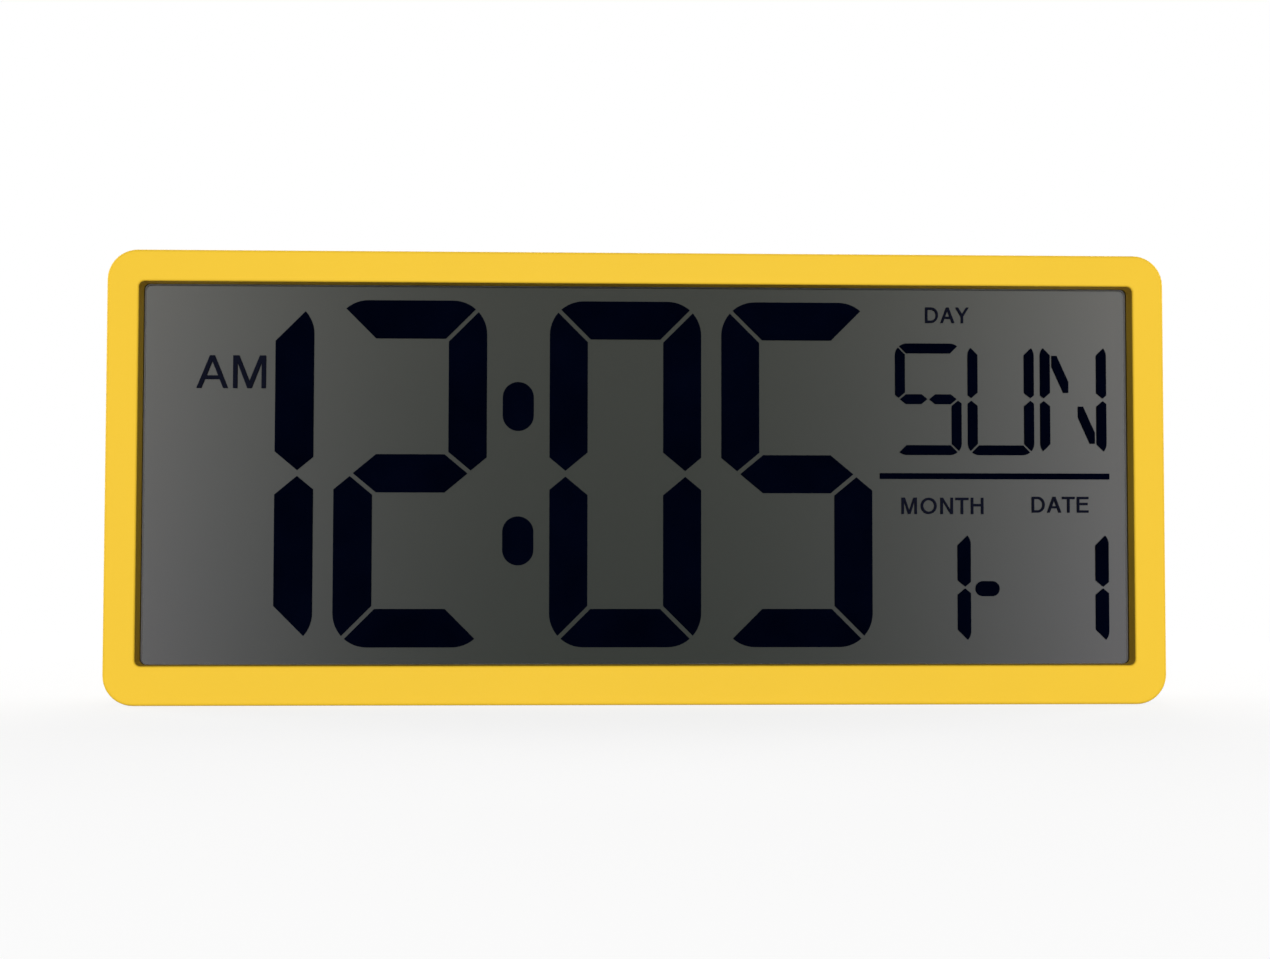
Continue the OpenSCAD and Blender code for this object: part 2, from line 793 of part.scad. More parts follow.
// Upper bar, mitred at 45 degrees
module top_bar(c) {
    x = c[0] / 2 - c[4] / sqrt(2);
    z = c[1] / 2;
    polygon([[-x - cut, z + cut], [x + cut, z + cut], [x - c[2], z - c[2]], [c[2] - x, z - c[2]]]);
}

// Upper left upright, with its point towards the middle bar
module side_bar(c) {
    left = -c[0] / 2;
    miter = c[1] / 2 - c[4] / sqrt(2);
    tip_z = c[4] * tip_share;
    tip_x = c[2] / 2 - c[4] * norm([1, bevel]) + bevel * tip_z;
    polygon([
        [left - cut, miter + cut],
        [left + c[2], miter - c[2]],
        [left + c[2], tip_z + (c[2] - tip_x) / bevel],
        [left + tip_x, tip_z],
        [left - cut, tip_z + (tip_x + cut) / bevel]
    ]);
}

// Middle bar between two points on the middle line
module middle_bar(c, from, to) {
    half = c[2] / 2;
    polygon([
        [from, 0], [from + bevel * half, half], [to - bevel * half, half],
        [to, 0], [to - bevel * half, -half], [from + bevel * half, -half]
    ]);
}

// Slanted bar of the upper left quarter
module slant_bar(c) {
    left = c[2] + c[4] - c[0] / 2;
    right = -c[2] / 2;
    low = c[2] / 2 + c[4];
    high = c[1] / 2 - c[2] - c[4];
    half = c[2] / 2;
    intersection() {
        translate([left, low]) square([right - left, high - low]);
        polygon([[left - half, high], [left + half, high], [right + half, low], [right - half, low]]);
    }
}

module segment_shape(name, c) {
    reach = (c[0] - c[2]) / 2;
    if (name == "a") top_bar(c);
    if (name == "b") mirror([1, 0]) side_bar(c);
    if (name == "c") rotate(180) side_bar(c);
    if (name == "d") mirror([0, 1]) top_bar(c);
    if (name == "e") mirror([0, 1]) side_bar(c);
    if (name == "f") side_bar(c);
    if (name == "g") middle_bar(c, -reach, reach);
    if (name == "h") middle_bar(c, -reach, -c[4] / 2);
    if (name == "i") middle_bar(c, c[4] / 2, reach);
    if (name == "j") slant_bar(c);
    if (name == "k") rotate(180) slant_bar(c);
}

// Lit segments of one cell whose middle is at the given place
module lit(names, c, place) {
    for (name = names) segment_layer() translate(place) intersection() {
        rounded_rect(c[0], c[1], c[3]);
        segment_shape(name, c);
    }
}

module segment_layer() {
    slab(cell_y + segment_clear, rear_glass_y - segment_clear) children();
}

module time_segments() {
    c = cell_size(digit_w, digit_h, digit_stroke, digit_r, digit_slit);
    pitch = digit_w + digit_gap;
    color("black") in_frame() {
        lit("bc", c, [hours_right - pitch - digit_w / 2, digit_z]);
        lit("abged", c, [hours_right - digit_w / 2, digit_z]);
        lit("abcdef", c, [minutes_left + digit_w / 2, digit_z]);
        lit("afgcd", c, [minutes_left + pitch + digit_w / 2, digit_z]);
    }
}

// Bar with round ends, along x or, where it is taller than wide, along z
module pill(w, h) {
    r = min(w, h) / 2;
    square([w > h ? w - 2 * r : w, w > h ? h : h - 2 * r], center = true);
    for (s = [-1, 1]) translate([s * (w / 2 - r), s * (h / 2 - r)]) circle(r);
}

module colon_dots() {
    color("black") in_frame() for (s = [-1, 1])
        segment_layer() translate([colon_x, digit_z + s * colon_pitch / 2]) pill(colon_w, colon_h);
}

module calendar_segments() {
    letter = cell_size(letter_w, letter_h, letter_stroke, letter_r, letter_slit);
    digit = cell_size(date_w, date_h, date_stroke, date_r, date_slit);
    words = ["afhicd", "fbecd", "fbecjk"];
    dash_x = date_right - date_pitch + dash_gap + dash_l / 2;
    color("black") in_frame() {
        for (i = [0:2]) lit(words[i], letter,
            [letters_left + letter_w / 2 + i * (letter_w + letter_gap), letters_top - letter_h / 2]);
        segment_layer() translate([letters_left - rule_left, rule_top - rule_t])
            square([letters_right - letters_left + rule_left + rule_right, rule_t]);
        for (x = [date_right - date_pitch, date_right]) lit("bc", digit, [x - date_w / 2, date_z]);
        segment_layer() translate([dash_x, date_z - dash_drop]) pill(dash_l, dash_t);
    }
}

// Bracket, connector strips and circuit board

module strip_outline(side, clear) {
    translate([side * (strip_in + strip_l / 2), strip_z])
        plain_rect(strip_l + 2 * clear, strip_t + 2 * clear);
}

module lcd_bracket() {
    color("white") in_frame() difference() {
        slab(bracket_y, board_y) difference() {
            union() {
                translate([0, window_z]) plain_rect(window_w + 2 * ring_t, window_h + 2 * ring_t);
                for (place = ear_places) {
                    translate(place) circle(boss_r);
                    translate([place[0] - sign(place[0]) * boss_r, place[1]])
                        plain_rect(2 * boss_r, 2 * boss_r);
                }
            }
            for (place = case_screw_places) translate(place) circle(boss_r + screw_clear);
            for (place = ear_places) translate(place) circle(screw_r + screw_clear);
            for (side = [-1, 1]) strip_outline(side, strip_clear);
        }
        for (place = board_screw_places)
            rod(screw_r + pilot_clear, bracket_y + blind_floor - pilot_clear, board_y + cut, place);
    }
}

module connector_strip(side) {
    color("hotpink") in_frame() slab(cell_y, board_y) strip_outline(side, 0);
}

module main_board() {
    color("darkgreen") in_frame() slab(board_y, board_back) difference() {
        translate([-board_w / 2, board_low]) square([board_w, board_high - board_low]);
        for (place = case_screw_places) translate(place) circle(boss_r + screw_clear);
        for (place = board_screw_places) translate(place) circle(screw_r + screw_clear);
        for (x = [box_left, outer_tail_x]) translate([x - tail_clear, tail_z - tail_hole / 2])
            square([contact_t + 2 * tail_clear, tail_hole]);
    }
}

// Parts on the board

// Shallow dome of epoxy over the controller
module controller_blob() {
    dome_r = (blob_r * blob_r + blob_h * blob_h) / (2 * blob_h);
    color("black") in_frame() translate([blob_place[0], board_back, blob_place[1]]) rotate([-90, 0, 0])
        rotate_extrude() intersection() {
            translate([0, blob_h - dome_r]) circle(dome_r, $fn = 256);
            square([blob_r + cut, blob_h + cut]);
        }
}

module quartz_crystal() {
    color("silver") in_frame() translate([crystal_place[0], board_back + crystal_r, crystal_place[1]])
        rotate([0, 90, 0]) cylinder(r = crystal_r, h = crystal_l);
}

module filter_capacitor() {
    color("navy") in_frame() rod(capacitor_r, board_back, board_back + capacitor_h, capacitor_place);
}

module chip_resistors() {
    color("dimgray") in_frame() for (i = [0:chip_count - 1])
        translate([chip_place[0] + i * chip_pitch, board_back, chip_place[1]]) cube([chip_w, chip_h, chip_l]);
}

// Buttons and push switches

function button_x(i) = (i - (len(BUTTONS) - 1) / 2) * button_pitch;

module switch_body(i) {
    color("dimgray") in_frame() difference() {
        slab(board_back, board_back + switch_h) translate([button_x(i), button_z])
            plain_rect(switch_w, switch_w);
        rod(plunger_r + button_clear, plunger_low - button_travel - button_clear, board_back + switch_h + cut,
            [button_x(i), button_z]);
    }
}

module switch_plunger(i) {
    color("black") in_frame() rod(plunger_r, plunger_low, plunger_top, [button_x(i), button_z]);
}

module push_button(i) {
    place = [button_x(i), button_z];
    color("darkslategray") in_frame() {
        rod(button_r, flange_y, case_d - button_sunk, place);
        rod(button_r + button_clear + flange_w, flange_y, flange_y + flange_t, place);
        rod(stem_r, plunger_top, flange_y + flange_t / 2, place);
    }
}

// Battery contacts, springs and cells

// Plate against the box's end wall, with a tail that turns forward into the board
module contact_plate(z) {
    block([box_left, cell_axis_y - contact_w / 2, z - contact_w / 2],
        [box_left + contact_t, cell_axis_y + contact_w / 2, z + contact_w / 2]);
}

module contact_tail(x, from_z) {
    block([x, cell_axis_y - tail_w / 2, from_z],
        [x + contact_t, cell_axis_y + tail_w / 2, tail_z + tail_w / 2]);
    block([x, tail_end_y, tail_z - tail_w / 2], [x + contact_t, cell_axis_y, tail_z + tail_w / 2]);
}

module negative_contact() {
    color("silver") in_frame() union() {
        contact_plate(upper_z);
        contact_tail(box_left, upper_z);
    }
}

module positive_contact() {
    color("silver") in_frame() union() {
        contact_plate(lower_z);
        block([outer_tail_x, cell_axis_y - tail_w / 2, lower_z - tail_w / 2],
            [box_left + contact_t, cell_axis_y + tail_w / 2, lower_z + tail_w / 2]);
        contact_tail(outer_tail_x, lower_z);
    }
}

module series_link() {
    half = (upper_z - lower_z + contact_w) / 2;
    color("silver") in_frame() block([box_right - contact_t, cell_axis_y - contact_w / 2, box_z - half],
        [box_right, cell_axis_y + contact_w / 2, box_z + half]);
}

// Centre line of a contact spring along +x from its plate: straight ends and a tapering coil between them
spring_steps = spring_turns * spring_rings;
spring_lead = 2 * spring_wire_r;
spring_coil_l = spring_l - 2 * spring_lead;

function spring_radius(t) = spring_wide_r + (spring_narrow_r - spring_wide_r) * t;

function coil_point(t) = [
    spring_lead + spring_coil_l * t,
    spring_radius(t) * cos(360 * spring_turns * t),
    spring_radius(t) * sin(360 * spring_turns * t)
];

spring_path = [
    [0, spring_wide_r, 0],
    for (i = [0:spring_steps]) coil_point(i / spring_steps),
    [spring_l, coil_point(1)[1], coil_point(1)[2]]
];

function unit(v) = v / norm(v);

function path_tangent(path, i) = unit(path[min(i + 1, len(path) - 1)] - path[max(i - 1, 0)]);

// Ring of points round the wire, set out from the spring's axis
function wire_ring(path, i) =
    let (
        tangent = i == 0 || i == len(path) - 1 ? [1, 0, 0] : path_tangent(path, i),
        radial = unit([0, path[i][1], path[i][2]]),
        out = unit(radial - (radial * tangent) * tangent),
        side = cross(tangent, out)
    )
    [for (k = [0:spring_sides - 1]) let (a = 360 * k / spring_sides)
        path[i] + spring_wire_r * (cos(a) * out + sin(a) * side)];

module wire(path) {
    count = len(path);
    points = [for (i = [0:count - 1]) each wire_ring(path, i)];
    last = (count - 1) * spring_sides;
    faces = [
        for (k = [1:spring_sides - 2]) [0, k, k + 1],
        for (i = [0:count - 2], k = [0:spring_sides - 1])
            let (a = i * spring_sides + k, b = i * spring_sides + (k + 1) % spring_sides)
            each [[a, a + spring_sides, b], [b, a + spring_sides, b + spring_sides]],
        for (k = [1:spring_sides - 2]) [last, last + k + 1, last + k]
    ];
    polyhedron(points = points, faces = faces);
}

spring_gap = min([
    for (i = [0:len(spring_path) - 1], j = [i + spring_rings - 2:1:len(spring_path) - 1])
        norm(spring_path[i] - spring_path[j])
]) - 2 * spring_wire_r;
echo(least_gap_of_contact_spring_to_itself = spring_gap);

module battery_spring_upper() {
    color("silver") in_frame() translate([box_left + contact_t, cell_axis_y, upper_z]) wire(spring_path);
}

module battery_spring_lower() {
    color("silver") in_frame() translate([box_right - contact_t, cell_axis_y, lower_z]) rotate([0, 180, 0])
        wire(spring_path);
}

// Cell along +x from its flat end, with its terminal at the far end
module aa_cell() {
    rotate([0, 90, 0]) {
        cylinder(d = cell_d, h = cell_l - nub_l);
        cylinder(r = nub_r, h = cell_l);
    }
}

module aa_cell_upper() {
    color("olivedrab") in_frame() translate([box_right - contact_t - cell_l, cell_axis_y, upper_z]) aa_cell();
}

module aa_cell_lower() {
    color("olivedrab") in_frame() translate([box_left + contact_t + cell_l, cell_axis_y, lower_z])
        rotate([0, 180, 0]) aa_cell();
}

module battery_door() {
    right = case_w / 2;
    grip_x = right - back_edge_r - grip_count * grip_pitch;
    color("goldenrod") in_frame() difference() {
        union() {
            translate([0, 0, box_low + door_clear]) linear_extrude(box_h - 2 * door_clear) difference() {
                translate([door_left, door_y]) square([right - door_left, door_t]);
                translate([right, case_d]) mirror([0, 1]) corner_waste(back_edge_r);
            }
            block([door_left, door_y, box_low - tongue_w],
                [right - back_edge_r, door_y + tongue_t, box_high + tongue_w]);
        }
        for (i = [0:grip_count - 1]) translate([grip_x + i * grip_pitch, case_d - grip_d, box_z - grip_l / 2])
            cube([grip_w, grip_d + cut, grip_l]);
    }
}

// Stand

module leg_outline() {
    low = stand_lift;
    difference() {
        union() {
            translate([-stand_w / 2, low + stand_r]) square([stand_w, stand_z + heel - low - stand_r]);
            translate([stand_r - stand_w / 2, low]) square([stand_w - 2 * stand_r, 2 * stand_r]);
            for (x = [-1, 1]) translate([x * (stand_w / 2 - stand_r), low + stand_r]) circle(stand_r);
        }
        translate([0, finger_z]) pill(finger_w, finger_h);
    }
}

module stand_leg() {
    panel_low = finger_z + finger_h / 2 + leg_border;
    panel_high = stand_z - leg_border;
    color("goldenrod") in_frame() difference() {
        slab(case_d - stand_t, case_d) leg_outline();
        pin_hole(pin_r + pin_clear, stand_w);
        block([leg_border - stand_w / 2, case_d - leg_sunk, panel_low],
            [stand_w / 2 - leg_border, case_d + cut, panel_high]);
        foot_block(cut);
    }
}

// Strip let into the leg's lower end, which reaches some way under it
module foot_block(reach) {
    block([-foot_w / 2, hinge_y - foot_t / 2, stand_lift - reach],
        [foot_w / 2, hinge_y + foot_t / 2, stand_lift + foot_h - foot_out]);
}

module stand_foot() {
    color("black") in_frame() foot_block(foot_out);
}

module stand_pin() {
    color("silver") in_frame() pin_hole(pin_r, tub_half + pin_grip);
}

front_bezel();
rear_cover();
case_screws();
lens_gasket();
display_lens();
lcd_polarizer();
lcd_front_glass();
lcd_seal();
time_segments();
colon_dots();
calendar_segments();
lcd_rear_glass();
lcd_reflector();
lcd_bracket();
bracket_screws();
connector_strip(-1);  // connector_strip_left
connector_strip(1);  // connector_strip_right
main_board();
board_screws();
controller_blob();
quartz_crystal();
filter_capacitor();
chip_resistors();
for (i = [0:len(BUTTONS) - 1]) {
    switch_body(i);
    switch_plunger(i);
    push_button(i);
}
negative_contact();
positive_contact();
series_link();
battery_spring_upper();
battery_spring_lower();
aa_cell_upper();
aa_cell_lower();
battery_door();
stand_leg();
stand_pin();
stand_foot();
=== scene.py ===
"""Large digital clock: its looks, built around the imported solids.

Metres, +Z up. The display faces -Y and the buttons, door and stand are on the +Y side.
"""
import json
import math

import bmesh
import bpy
from mathutils import Euler, Matrix, Vector
from mathutils.geometry import tessellate_polygon

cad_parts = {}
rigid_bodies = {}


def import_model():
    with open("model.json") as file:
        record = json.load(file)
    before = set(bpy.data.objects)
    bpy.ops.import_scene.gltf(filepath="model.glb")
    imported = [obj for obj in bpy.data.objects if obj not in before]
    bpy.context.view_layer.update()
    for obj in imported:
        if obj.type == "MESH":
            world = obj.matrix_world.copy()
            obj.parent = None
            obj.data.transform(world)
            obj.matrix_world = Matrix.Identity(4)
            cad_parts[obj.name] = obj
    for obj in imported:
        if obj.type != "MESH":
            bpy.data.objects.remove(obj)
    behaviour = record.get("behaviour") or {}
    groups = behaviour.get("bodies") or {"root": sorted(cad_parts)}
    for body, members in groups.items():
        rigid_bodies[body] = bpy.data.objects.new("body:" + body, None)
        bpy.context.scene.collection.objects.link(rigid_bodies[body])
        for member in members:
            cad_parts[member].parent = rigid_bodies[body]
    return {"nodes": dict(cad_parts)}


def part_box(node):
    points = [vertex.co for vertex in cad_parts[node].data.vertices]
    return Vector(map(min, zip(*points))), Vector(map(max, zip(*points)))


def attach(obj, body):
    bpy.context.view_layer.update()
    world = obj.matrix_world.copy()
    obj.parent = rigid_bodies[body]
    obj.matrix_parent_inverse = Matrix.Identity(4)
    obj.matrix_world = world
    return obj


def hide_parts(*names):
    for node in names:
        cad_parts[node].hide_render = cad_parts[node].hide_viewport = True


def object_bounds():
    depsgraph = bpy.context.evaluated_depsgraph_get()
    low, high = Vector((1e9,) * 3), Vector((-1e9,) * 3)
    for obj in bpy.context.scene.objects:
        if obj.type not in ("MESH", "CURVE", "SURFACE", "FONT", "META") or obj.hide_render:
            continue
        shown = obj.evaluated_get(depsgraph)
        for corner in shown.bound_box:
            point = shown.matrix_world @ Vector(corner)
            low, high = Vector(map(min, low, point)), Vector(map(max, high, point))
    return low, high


for start_object in list(bpy.data.objects):
    bpy.data.objects.remove(start_object)
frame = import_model()
cad_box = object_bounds()
NODES = frame["nodes"]
SCENE = bpy.context.scene
MM = 0.001

# Camera, fitted to the photograph: place, turn in degrees, and lens and sensor in millimetres
CAMERA_PLACE = Vector((-17.06, -540.41, 60.87)) * MM
CAMERA_TURN = (91.9165, -0.0815, -1.6773)
CAMERA_LENS = 42.617
SENSOR_W = 36

# Level of the even light that the surroundings throw on the object
AMBIENT = 0.06
# Half the floor's width, and the distances from the middle between which its shadow fades out
FLOOR_HALF = 6
SHADOW_NEAR = 0.22
SHADOW_FAR = 0.5
# Share of the floor's white that a shadow can't take away, close to the object
FLOOR_GLOW = 0.86
# Floor's paleness where it is seen, and for the light that it throws back on the object
FLOOR_PALE = 0.95
FLOOR_BOUNCE = 0.15
# Lamps: place, width and height, and level
# All but the first stand behind the frame's face, so that its window stays deep
LAMPS = {
    "front_lamp": ((0.0, -8.5, 0.3), (0.4, 0.4), 0.95),
    "top_lamp": ((0.0, 0.55, 0.95), (1.0, 0.5), 0.45),
    "left_lamp": ((-1.1, 0.4, 0.45), (0.5, 0.6), 0.62),
    "right_lamp": ((1.1, 0.4, 0.45), (0.5, 0.6), 0.62),
    "back_lamp": ((0.3, 1.5, 0.6), (0.9, 0.6), 0.3),
}


def srgb(red, green, blue):
    """Linear colour of an 8-bit screen colour."""
    def linear(level):
        share = level / 255
        return share / 12.92 if share <= 0.04045 else ((share + 0.055) / 1.055) ** 2.4

    return (linear(red), linear(green), linear(blue), 1.0)


def shaded(colour, share):
    """The colour darkened by a share."""
    return (*(channel * (1 - share) for channel in colour[:3]), 1.0)


# Node materials

def new_material(name):
    """An empty node material and its tree."""
    material = bpy.data.materials.new(name)
    material.use_nodes = True
    material.node_tree.nodes.clear()
    return material, material.node_tree


def node(tree, kind, inputs=None, **settings):
    """A shader node. An input is a plain value, or the output of another node."""
    made = tree.nodes.new(kind)
    for name, value in settings.items():
        setattr(made, name, value)
    for key, value in (inputs or {}).items():
        if isinstance(value, bpy.types.NodeSocket):
            tree.links.new(value, made.inputs[key])
        else:
            made.inputs[key].default_value = value
    return made


def mixed(tree, factor, first, second):
    """Colour between two colours, by a factor from a node."""
    return node(tree, "ShaderNodeMix", {0: factor, 6: first, 7: second}, data_type="RGBA").outputs[2]


def ranged(tree, value, low, high, to_low, to_high):
    """A value mapped from one range to another, held at its ends."""
    inputs = {"Value": value, "From Min": low, "From Max": high, "To Min": to_low, "To Max": to_high}
    return node(tree, "ShaderNodeMapRange", inputs).outputs["Result"]


def maths(tree, operation, first, second=0.0):
    """One sum of two values, or of one."""
    return node(tree, "ShaderNodeMath", {0: first, 1: second}, operation=operation).outputs[0]


def coordinates(tree):
    """Place on the object, in metres."""
    return node(tree, "ShaderNodeTexCoord").outputs["Object"]


def along_axis(tree, place, axis):
    """One of the three coordinates of a place."""
    return node(tree, "ShaderNodeSeparateXYZ", {"Vector": place}).outputs[axis]


def noise(tree, place, size, detail=2):
    """Noise whose spots are about that size."""
    inputs = {"Vector": place, "Scale": 1 / size, "Detail": detail}
    return node(tree, "ShaderNodeTexNoise", inputs).outputs["Fac"]


# Values between which noise mostly stays
NOISE_LOW, NOISE_HIGH = 0.3, 0.7


def spread(tree, uneven, low, high):
    """Noise spread between two values."""
    return ranged(tree, uneven, NOISE_LOW, NOISE_HIGH, low, high)


def show(tree, shader):
    """Ends the tree in that shader."""
    node(tree, "ShaderNodeOutputMaterial", {"Surface": shader.outputs[0]})


# Plastic: size of the clouds in its colour, how much darker they are, and how much the roughness varies
PLASTIC_CLOUD = 30 * MM
PLASTIC_SHADE = 0.03
PLASTIC_UNEVEN = 0.06


def moulded_plastic(name, colour, roughness, grain, grain_depth, specular=0.3, edge=0.35 * MM):
    """Plastic from a grained mould: slightly uneven colour and gloss, and soft edges."""
    material, tree = new_material(name)
    place = coordinates(tree)
    cloud = noise(tree, place, PLASTIC_CLOUD, detail=3)
    fine = noise(tree, place, grain)
    soft_edge = node(tree, "ShaderNodeBevel", {"Radius": edge}, samples=4).outputs[0]
    bump = node(tree, "ShaderNodeBump", {"Height": fine, "Distance": grain_depth, "Normal": soft_edge})
    show(tree, node(tree, "ShaderNodeBsdfPrincipled", {
        "Base Color": mixed(tree, cloud, colour, shaded(colour, PLASTIC_SHADE)),
        "Roughness": spread(tree, fine, roughness - PLASTIC_UNEVEN, roughness + PLASTIC_UNEVEN),
        "Specular IOR Level": specular,
        "Normal": bump.outputs[0],
    }))
    return material


# Metal: size and shade of the clouds in its shine, and width, depth and stretch of the scratches
METAL_CLOUD = 3 * MM
METAL_SHADE = 0.25
SCRATCH_W = 0.12 * MM
SCRATCH_DEPTH = 0.004 * MM
SCRATCH_STRETCH = (0.05, 1, 1)


def plated_metal(name, colour, roughness):
    """Plated metal with fine scratches and a slightly cloudy shine."""
    material, tree = new_material(name)
    place = coordinates(tree)
    cloud = noise(tree, place, METAL_CLOUD)
    stretched = node(tree, "ShaderNodeMapping", {"Vector": place, "Scale": SCRATCH_STRETCH}).outputs[0]
    lines = noise(tree, stretched, SCRATCH_W)
    bump = node(tree, "ShaderNodeBump", {"Height": lines, "Distance": SCRATCH_DEPTH})
    show(tree, node(tree, "ShaderNodeBsdfPrincipled", {
        "Base Color": mixed(tree, cloud, colour, shaded(colour, METAL_SHADE)),
        "Metallic": 1.0,
        "Roughness": spread(tree, lines, roughness - 0.08, roughness + 0.1),
        "Normal": bump.outputs[0],
    }))
    return material


def soft_rubber(name, colour, pore):
    """Rubber or foam with pores and a dull sheen, its colour darker in the pores' hollows as painted
    shade.
    """
    material, tree = new_material(name)
    place = coordinates(tree)
    cells = node(tree, "ShaderNodeTexVoronoi", {"Vector": place, "Scale": 1 / pore}).outputs["Distance"]
    bump = node(tree, "ShaderNodeBump", {"Height": cells, "Distance": 0.25 * pore})
    show(tree, node(tree, "ShaderNodeBsdfPrincipled", {
        # Painted shade: the colour is darker in the hollows of the pores, where the bump sinks
        "Base Color": mixed(tree, cells, shaded(colour, 0.5), colour),
        "Roughness": spread(tree, noise(tree, place, 5 * MM), 0.7, 0.9),
        "Specular IOR Level": 0.2,
        "Normal": bump.outputs[0],
    }))
    return material


# How steeply the gloss of a clear sheet rises from head on to edge on
GLOSS_RISE = 4


def clear_sheet(name, tint, gloss_edge_on, roughness):
    """Clear, coated sheet: see-through head on, and glossier the flatter one looks at it."""
    material, tree = new_material(name)
    place = coordinates(tree)
    facing = node(tree, "ShaderNodeLayerWeight").outputs["Facing"]
    gloss = node(tree, "ShaderNodeBsdfPrincipled", {
        "Base Color": (0.9, 0.9, 0.9, 1),
        "Metallic": 1.0,
        "Roughness": spread(tree, noise(tree, place, 15 * MM), 0.85 * roughness, 1.15 * roughness),
    })
    clear = node(tree, "ShaderNodeBsdfTransparent", {"Color": tint})
    share = maths(tree, "MULTIPLY", maths(tree, "POWER", facing, GLOSS_RISE), gloss_edge_on)
    show(tree, node(tree, "ShaderNodeMixShader", {0: share, 1: clear.outputs[0], 2: gloss.outputs[0]}))
    return material


# Display field: place of its darkest upright line, and how steeply its painted sheen makes it lighter
# towards both ends
FIELD_DARK_X = -6 * MM
FIELD_RISE = 2.4
# Its colours in the middle and, with the painted sheen, at the ends, along the lower edge and along the
# upper edge
FIELD_LOWER = (srgb(55, 58, 55), srgb(96, 96, 98))
FIELD_UPPER = (srgb(63, 65, 61), srgb(104, 104, 102))


def display_field(name):
    """Grey field behind the segments, greenish and dark in the middle, with a painted sheen that makes it
    lighter towards both ends.
    """
    material, tree = new_material(name)
    low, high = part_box("lcd_reflector")
    place = coordinates(tree)
    off_dark = maths(tree, "SUBTRACT", along_axis(tree, place, "X"), FIELD_DARK_X)
    towards_end = maths(tree, "DIVIDE", maths(tree, "ABSOLUTE", off_dark), high.x)
    # Painted sheen: the field's colour grows lighter from its darkest line towards both ends
    painted_sheen = maths(tree, "POWER", towards_end, FIELD_RISE)
    lower = mixed(tree, painted_sheen, *FIELD_LOWER)
    upper = mixed(tree, painted_sheen, *FIELD_UPPER)
    lift = ranged(tree, along_axis(tree, place, "Z"), low.z, high.z, 0.0, 1.0)
    show(tree, node(tree, "ShaderNodeBsdfPrincipled", {
        "Base Color": mixed(tree, lift, lower, upper),
        "Roughness": spread(tree, noise(tree, place, 0.25 * MM), 0.6, 0.8),
        "Specular IOR Level": 0.02,
    }))
    return material


def dark_crystal(name, dark, pale):
    """Switched segments and printed labels: near black with a hint of navy, slightly uneven."""
    material, tree = new_material(name)
    cloud = noise(tree, coordinates(tree), 20 * MM)
    show(tree, node(tree, "ShaderNodeBsdfPrincipled", {
        "Base Color": mixed(tree, cloud, dark, pale),
        "Roughness": 0.7,
        "Specular IOR Level": 0.0,
    }))
    return material


def striped(name, first, second, pitch, axis, roughness):
    """Bands across one axis, for connector strips and the board's tracks."""
    material, tree = new_material(name)
    place = coordinates(tree)
    wave = maths(tree, "PINGPONG", along_axis(tree, place, axis), pitch)
    band = ranged(tree, maths(tree, "DIVIDE", wave, pitch), 0.45, 0.55, 0.0, 1.0)
    show(tree, node(tree, "ShaderNodeBsdfPrincipled", {
        "Base Color": mixed(tree, band, first, second),
        "Roughness": spread(tree, noise(tree, place, 1 * MM), roughness - 0.08, roughness + 0.08),
    }))
    return material


# Shares of a cell's length at which the sleeve's pale ring starts and ends
RING_FROM, RING_TO = 0.67, 0.69


def printed_wrap(name, negative_x, positive_x):
    """Cell sleeve: a green body, a pale ring and a copper end, with a soft film gloss."""
    material, tree = new_material(name)
    place = coordinates(tree)
    share = ranged(tree, along_axis(tree, place, "X"), negative_x, positive_x, 0.0, 1.0)
    past_body = maths(tree, "GREATER_THAN", share, RING_FROM)
    past_ring = maths(tree, "GREATER_THAN", share, RING_TO)
    body = mixed(tree, noise(tree, place, 8 * MM), srgb(38, 74, 52), srgb(46, 88, 60))
    copper = mixed(tree, noise(tree, place, 4 * MM), srgb(176, 112, 62), srgb(196, 132, 78))
    body_and_ring = mixed(tree, past_body, body, srgb(226, 222, 206))
    show(tree, node(tree, "ShaderNodeBsdfPrincipled", {
        "Base Color": mixed(tree, past_ring, body_and_ring, copper),
        "Roughness": spread(tree, noise(tree, place, 1 * MM), 0.28, 0.4),
        "Coat Weight": 0.3,
    }))
    return material


# Plastics: colour, roughness, and size and depth of the grain
YELLOW = srgb(244, 200, 54)
FRAME_PLASTIC = moulded_plastic("frame_plastic", YELLOW, 0.6, 0.4 * MM, 0.006 * MM, specular=0.1)
COVER_PLASTIC = moulded_plastic("cover_plastic", YELLOW, 0.68, 0.6 * MM, 0.03 * MM, specular=0.25)
BUTTON_PLASTIC = moulded_plastic("button_plastic", srgb(52, 54, 56), 0.55, 0.5 * MM, 0.02 * MM)
BRACKET_PLASTIC = moulded_plastic("bracket_plastic", srgb(224, 224, 220), 0.6, 0.5 * MM, 0.02 * MM)
SWITCH_PLASTIC = moulded_plastic("switch_plastic", srgb(28, 28, 30), 0.5, 0.4 * MM, 0.01 * MM)
PLUNGER_PLASTIC = moulded_plastic("plunger_plastic", srgb(39, 39, 39), 0.45, 0.4 * MM, 0.005 * MM)
SIGN_PLASTIC = moulded_plastic("sign_plastic", srgb(226, 224, 214), 0.45, 0.4 * MM, 0.005 * MM)
INSULATOR = moulded_plastic("insulator", srgb(40, 41, 43), 0.6, 0.5 * MM, 0.02 * MM)
SEAL_RESIN = moulded_plastic("seal_resin", srgb(186, 162, 100), 0.5, 0.3 * MM, 0.01 * MM, specular=0.1)
CELL_EDGE = moulded_plastic("cell_edge", srgb(236, 236, 236), 0.5, 0.3 * MM, 0.01 * MM, specular=0.1)
EPOXY_BLACK = moulded_plastic("epoxy_black", srgb(16, 16, 17), 0.25, 2 * MM, 0.04 * MM, specular=0.5)
CHIP_CERAMIC = moulded_plastic("chip_ceramic", srgb(36, 36, 40), 0.4, 0.2 * MM, 0.01 * MM)
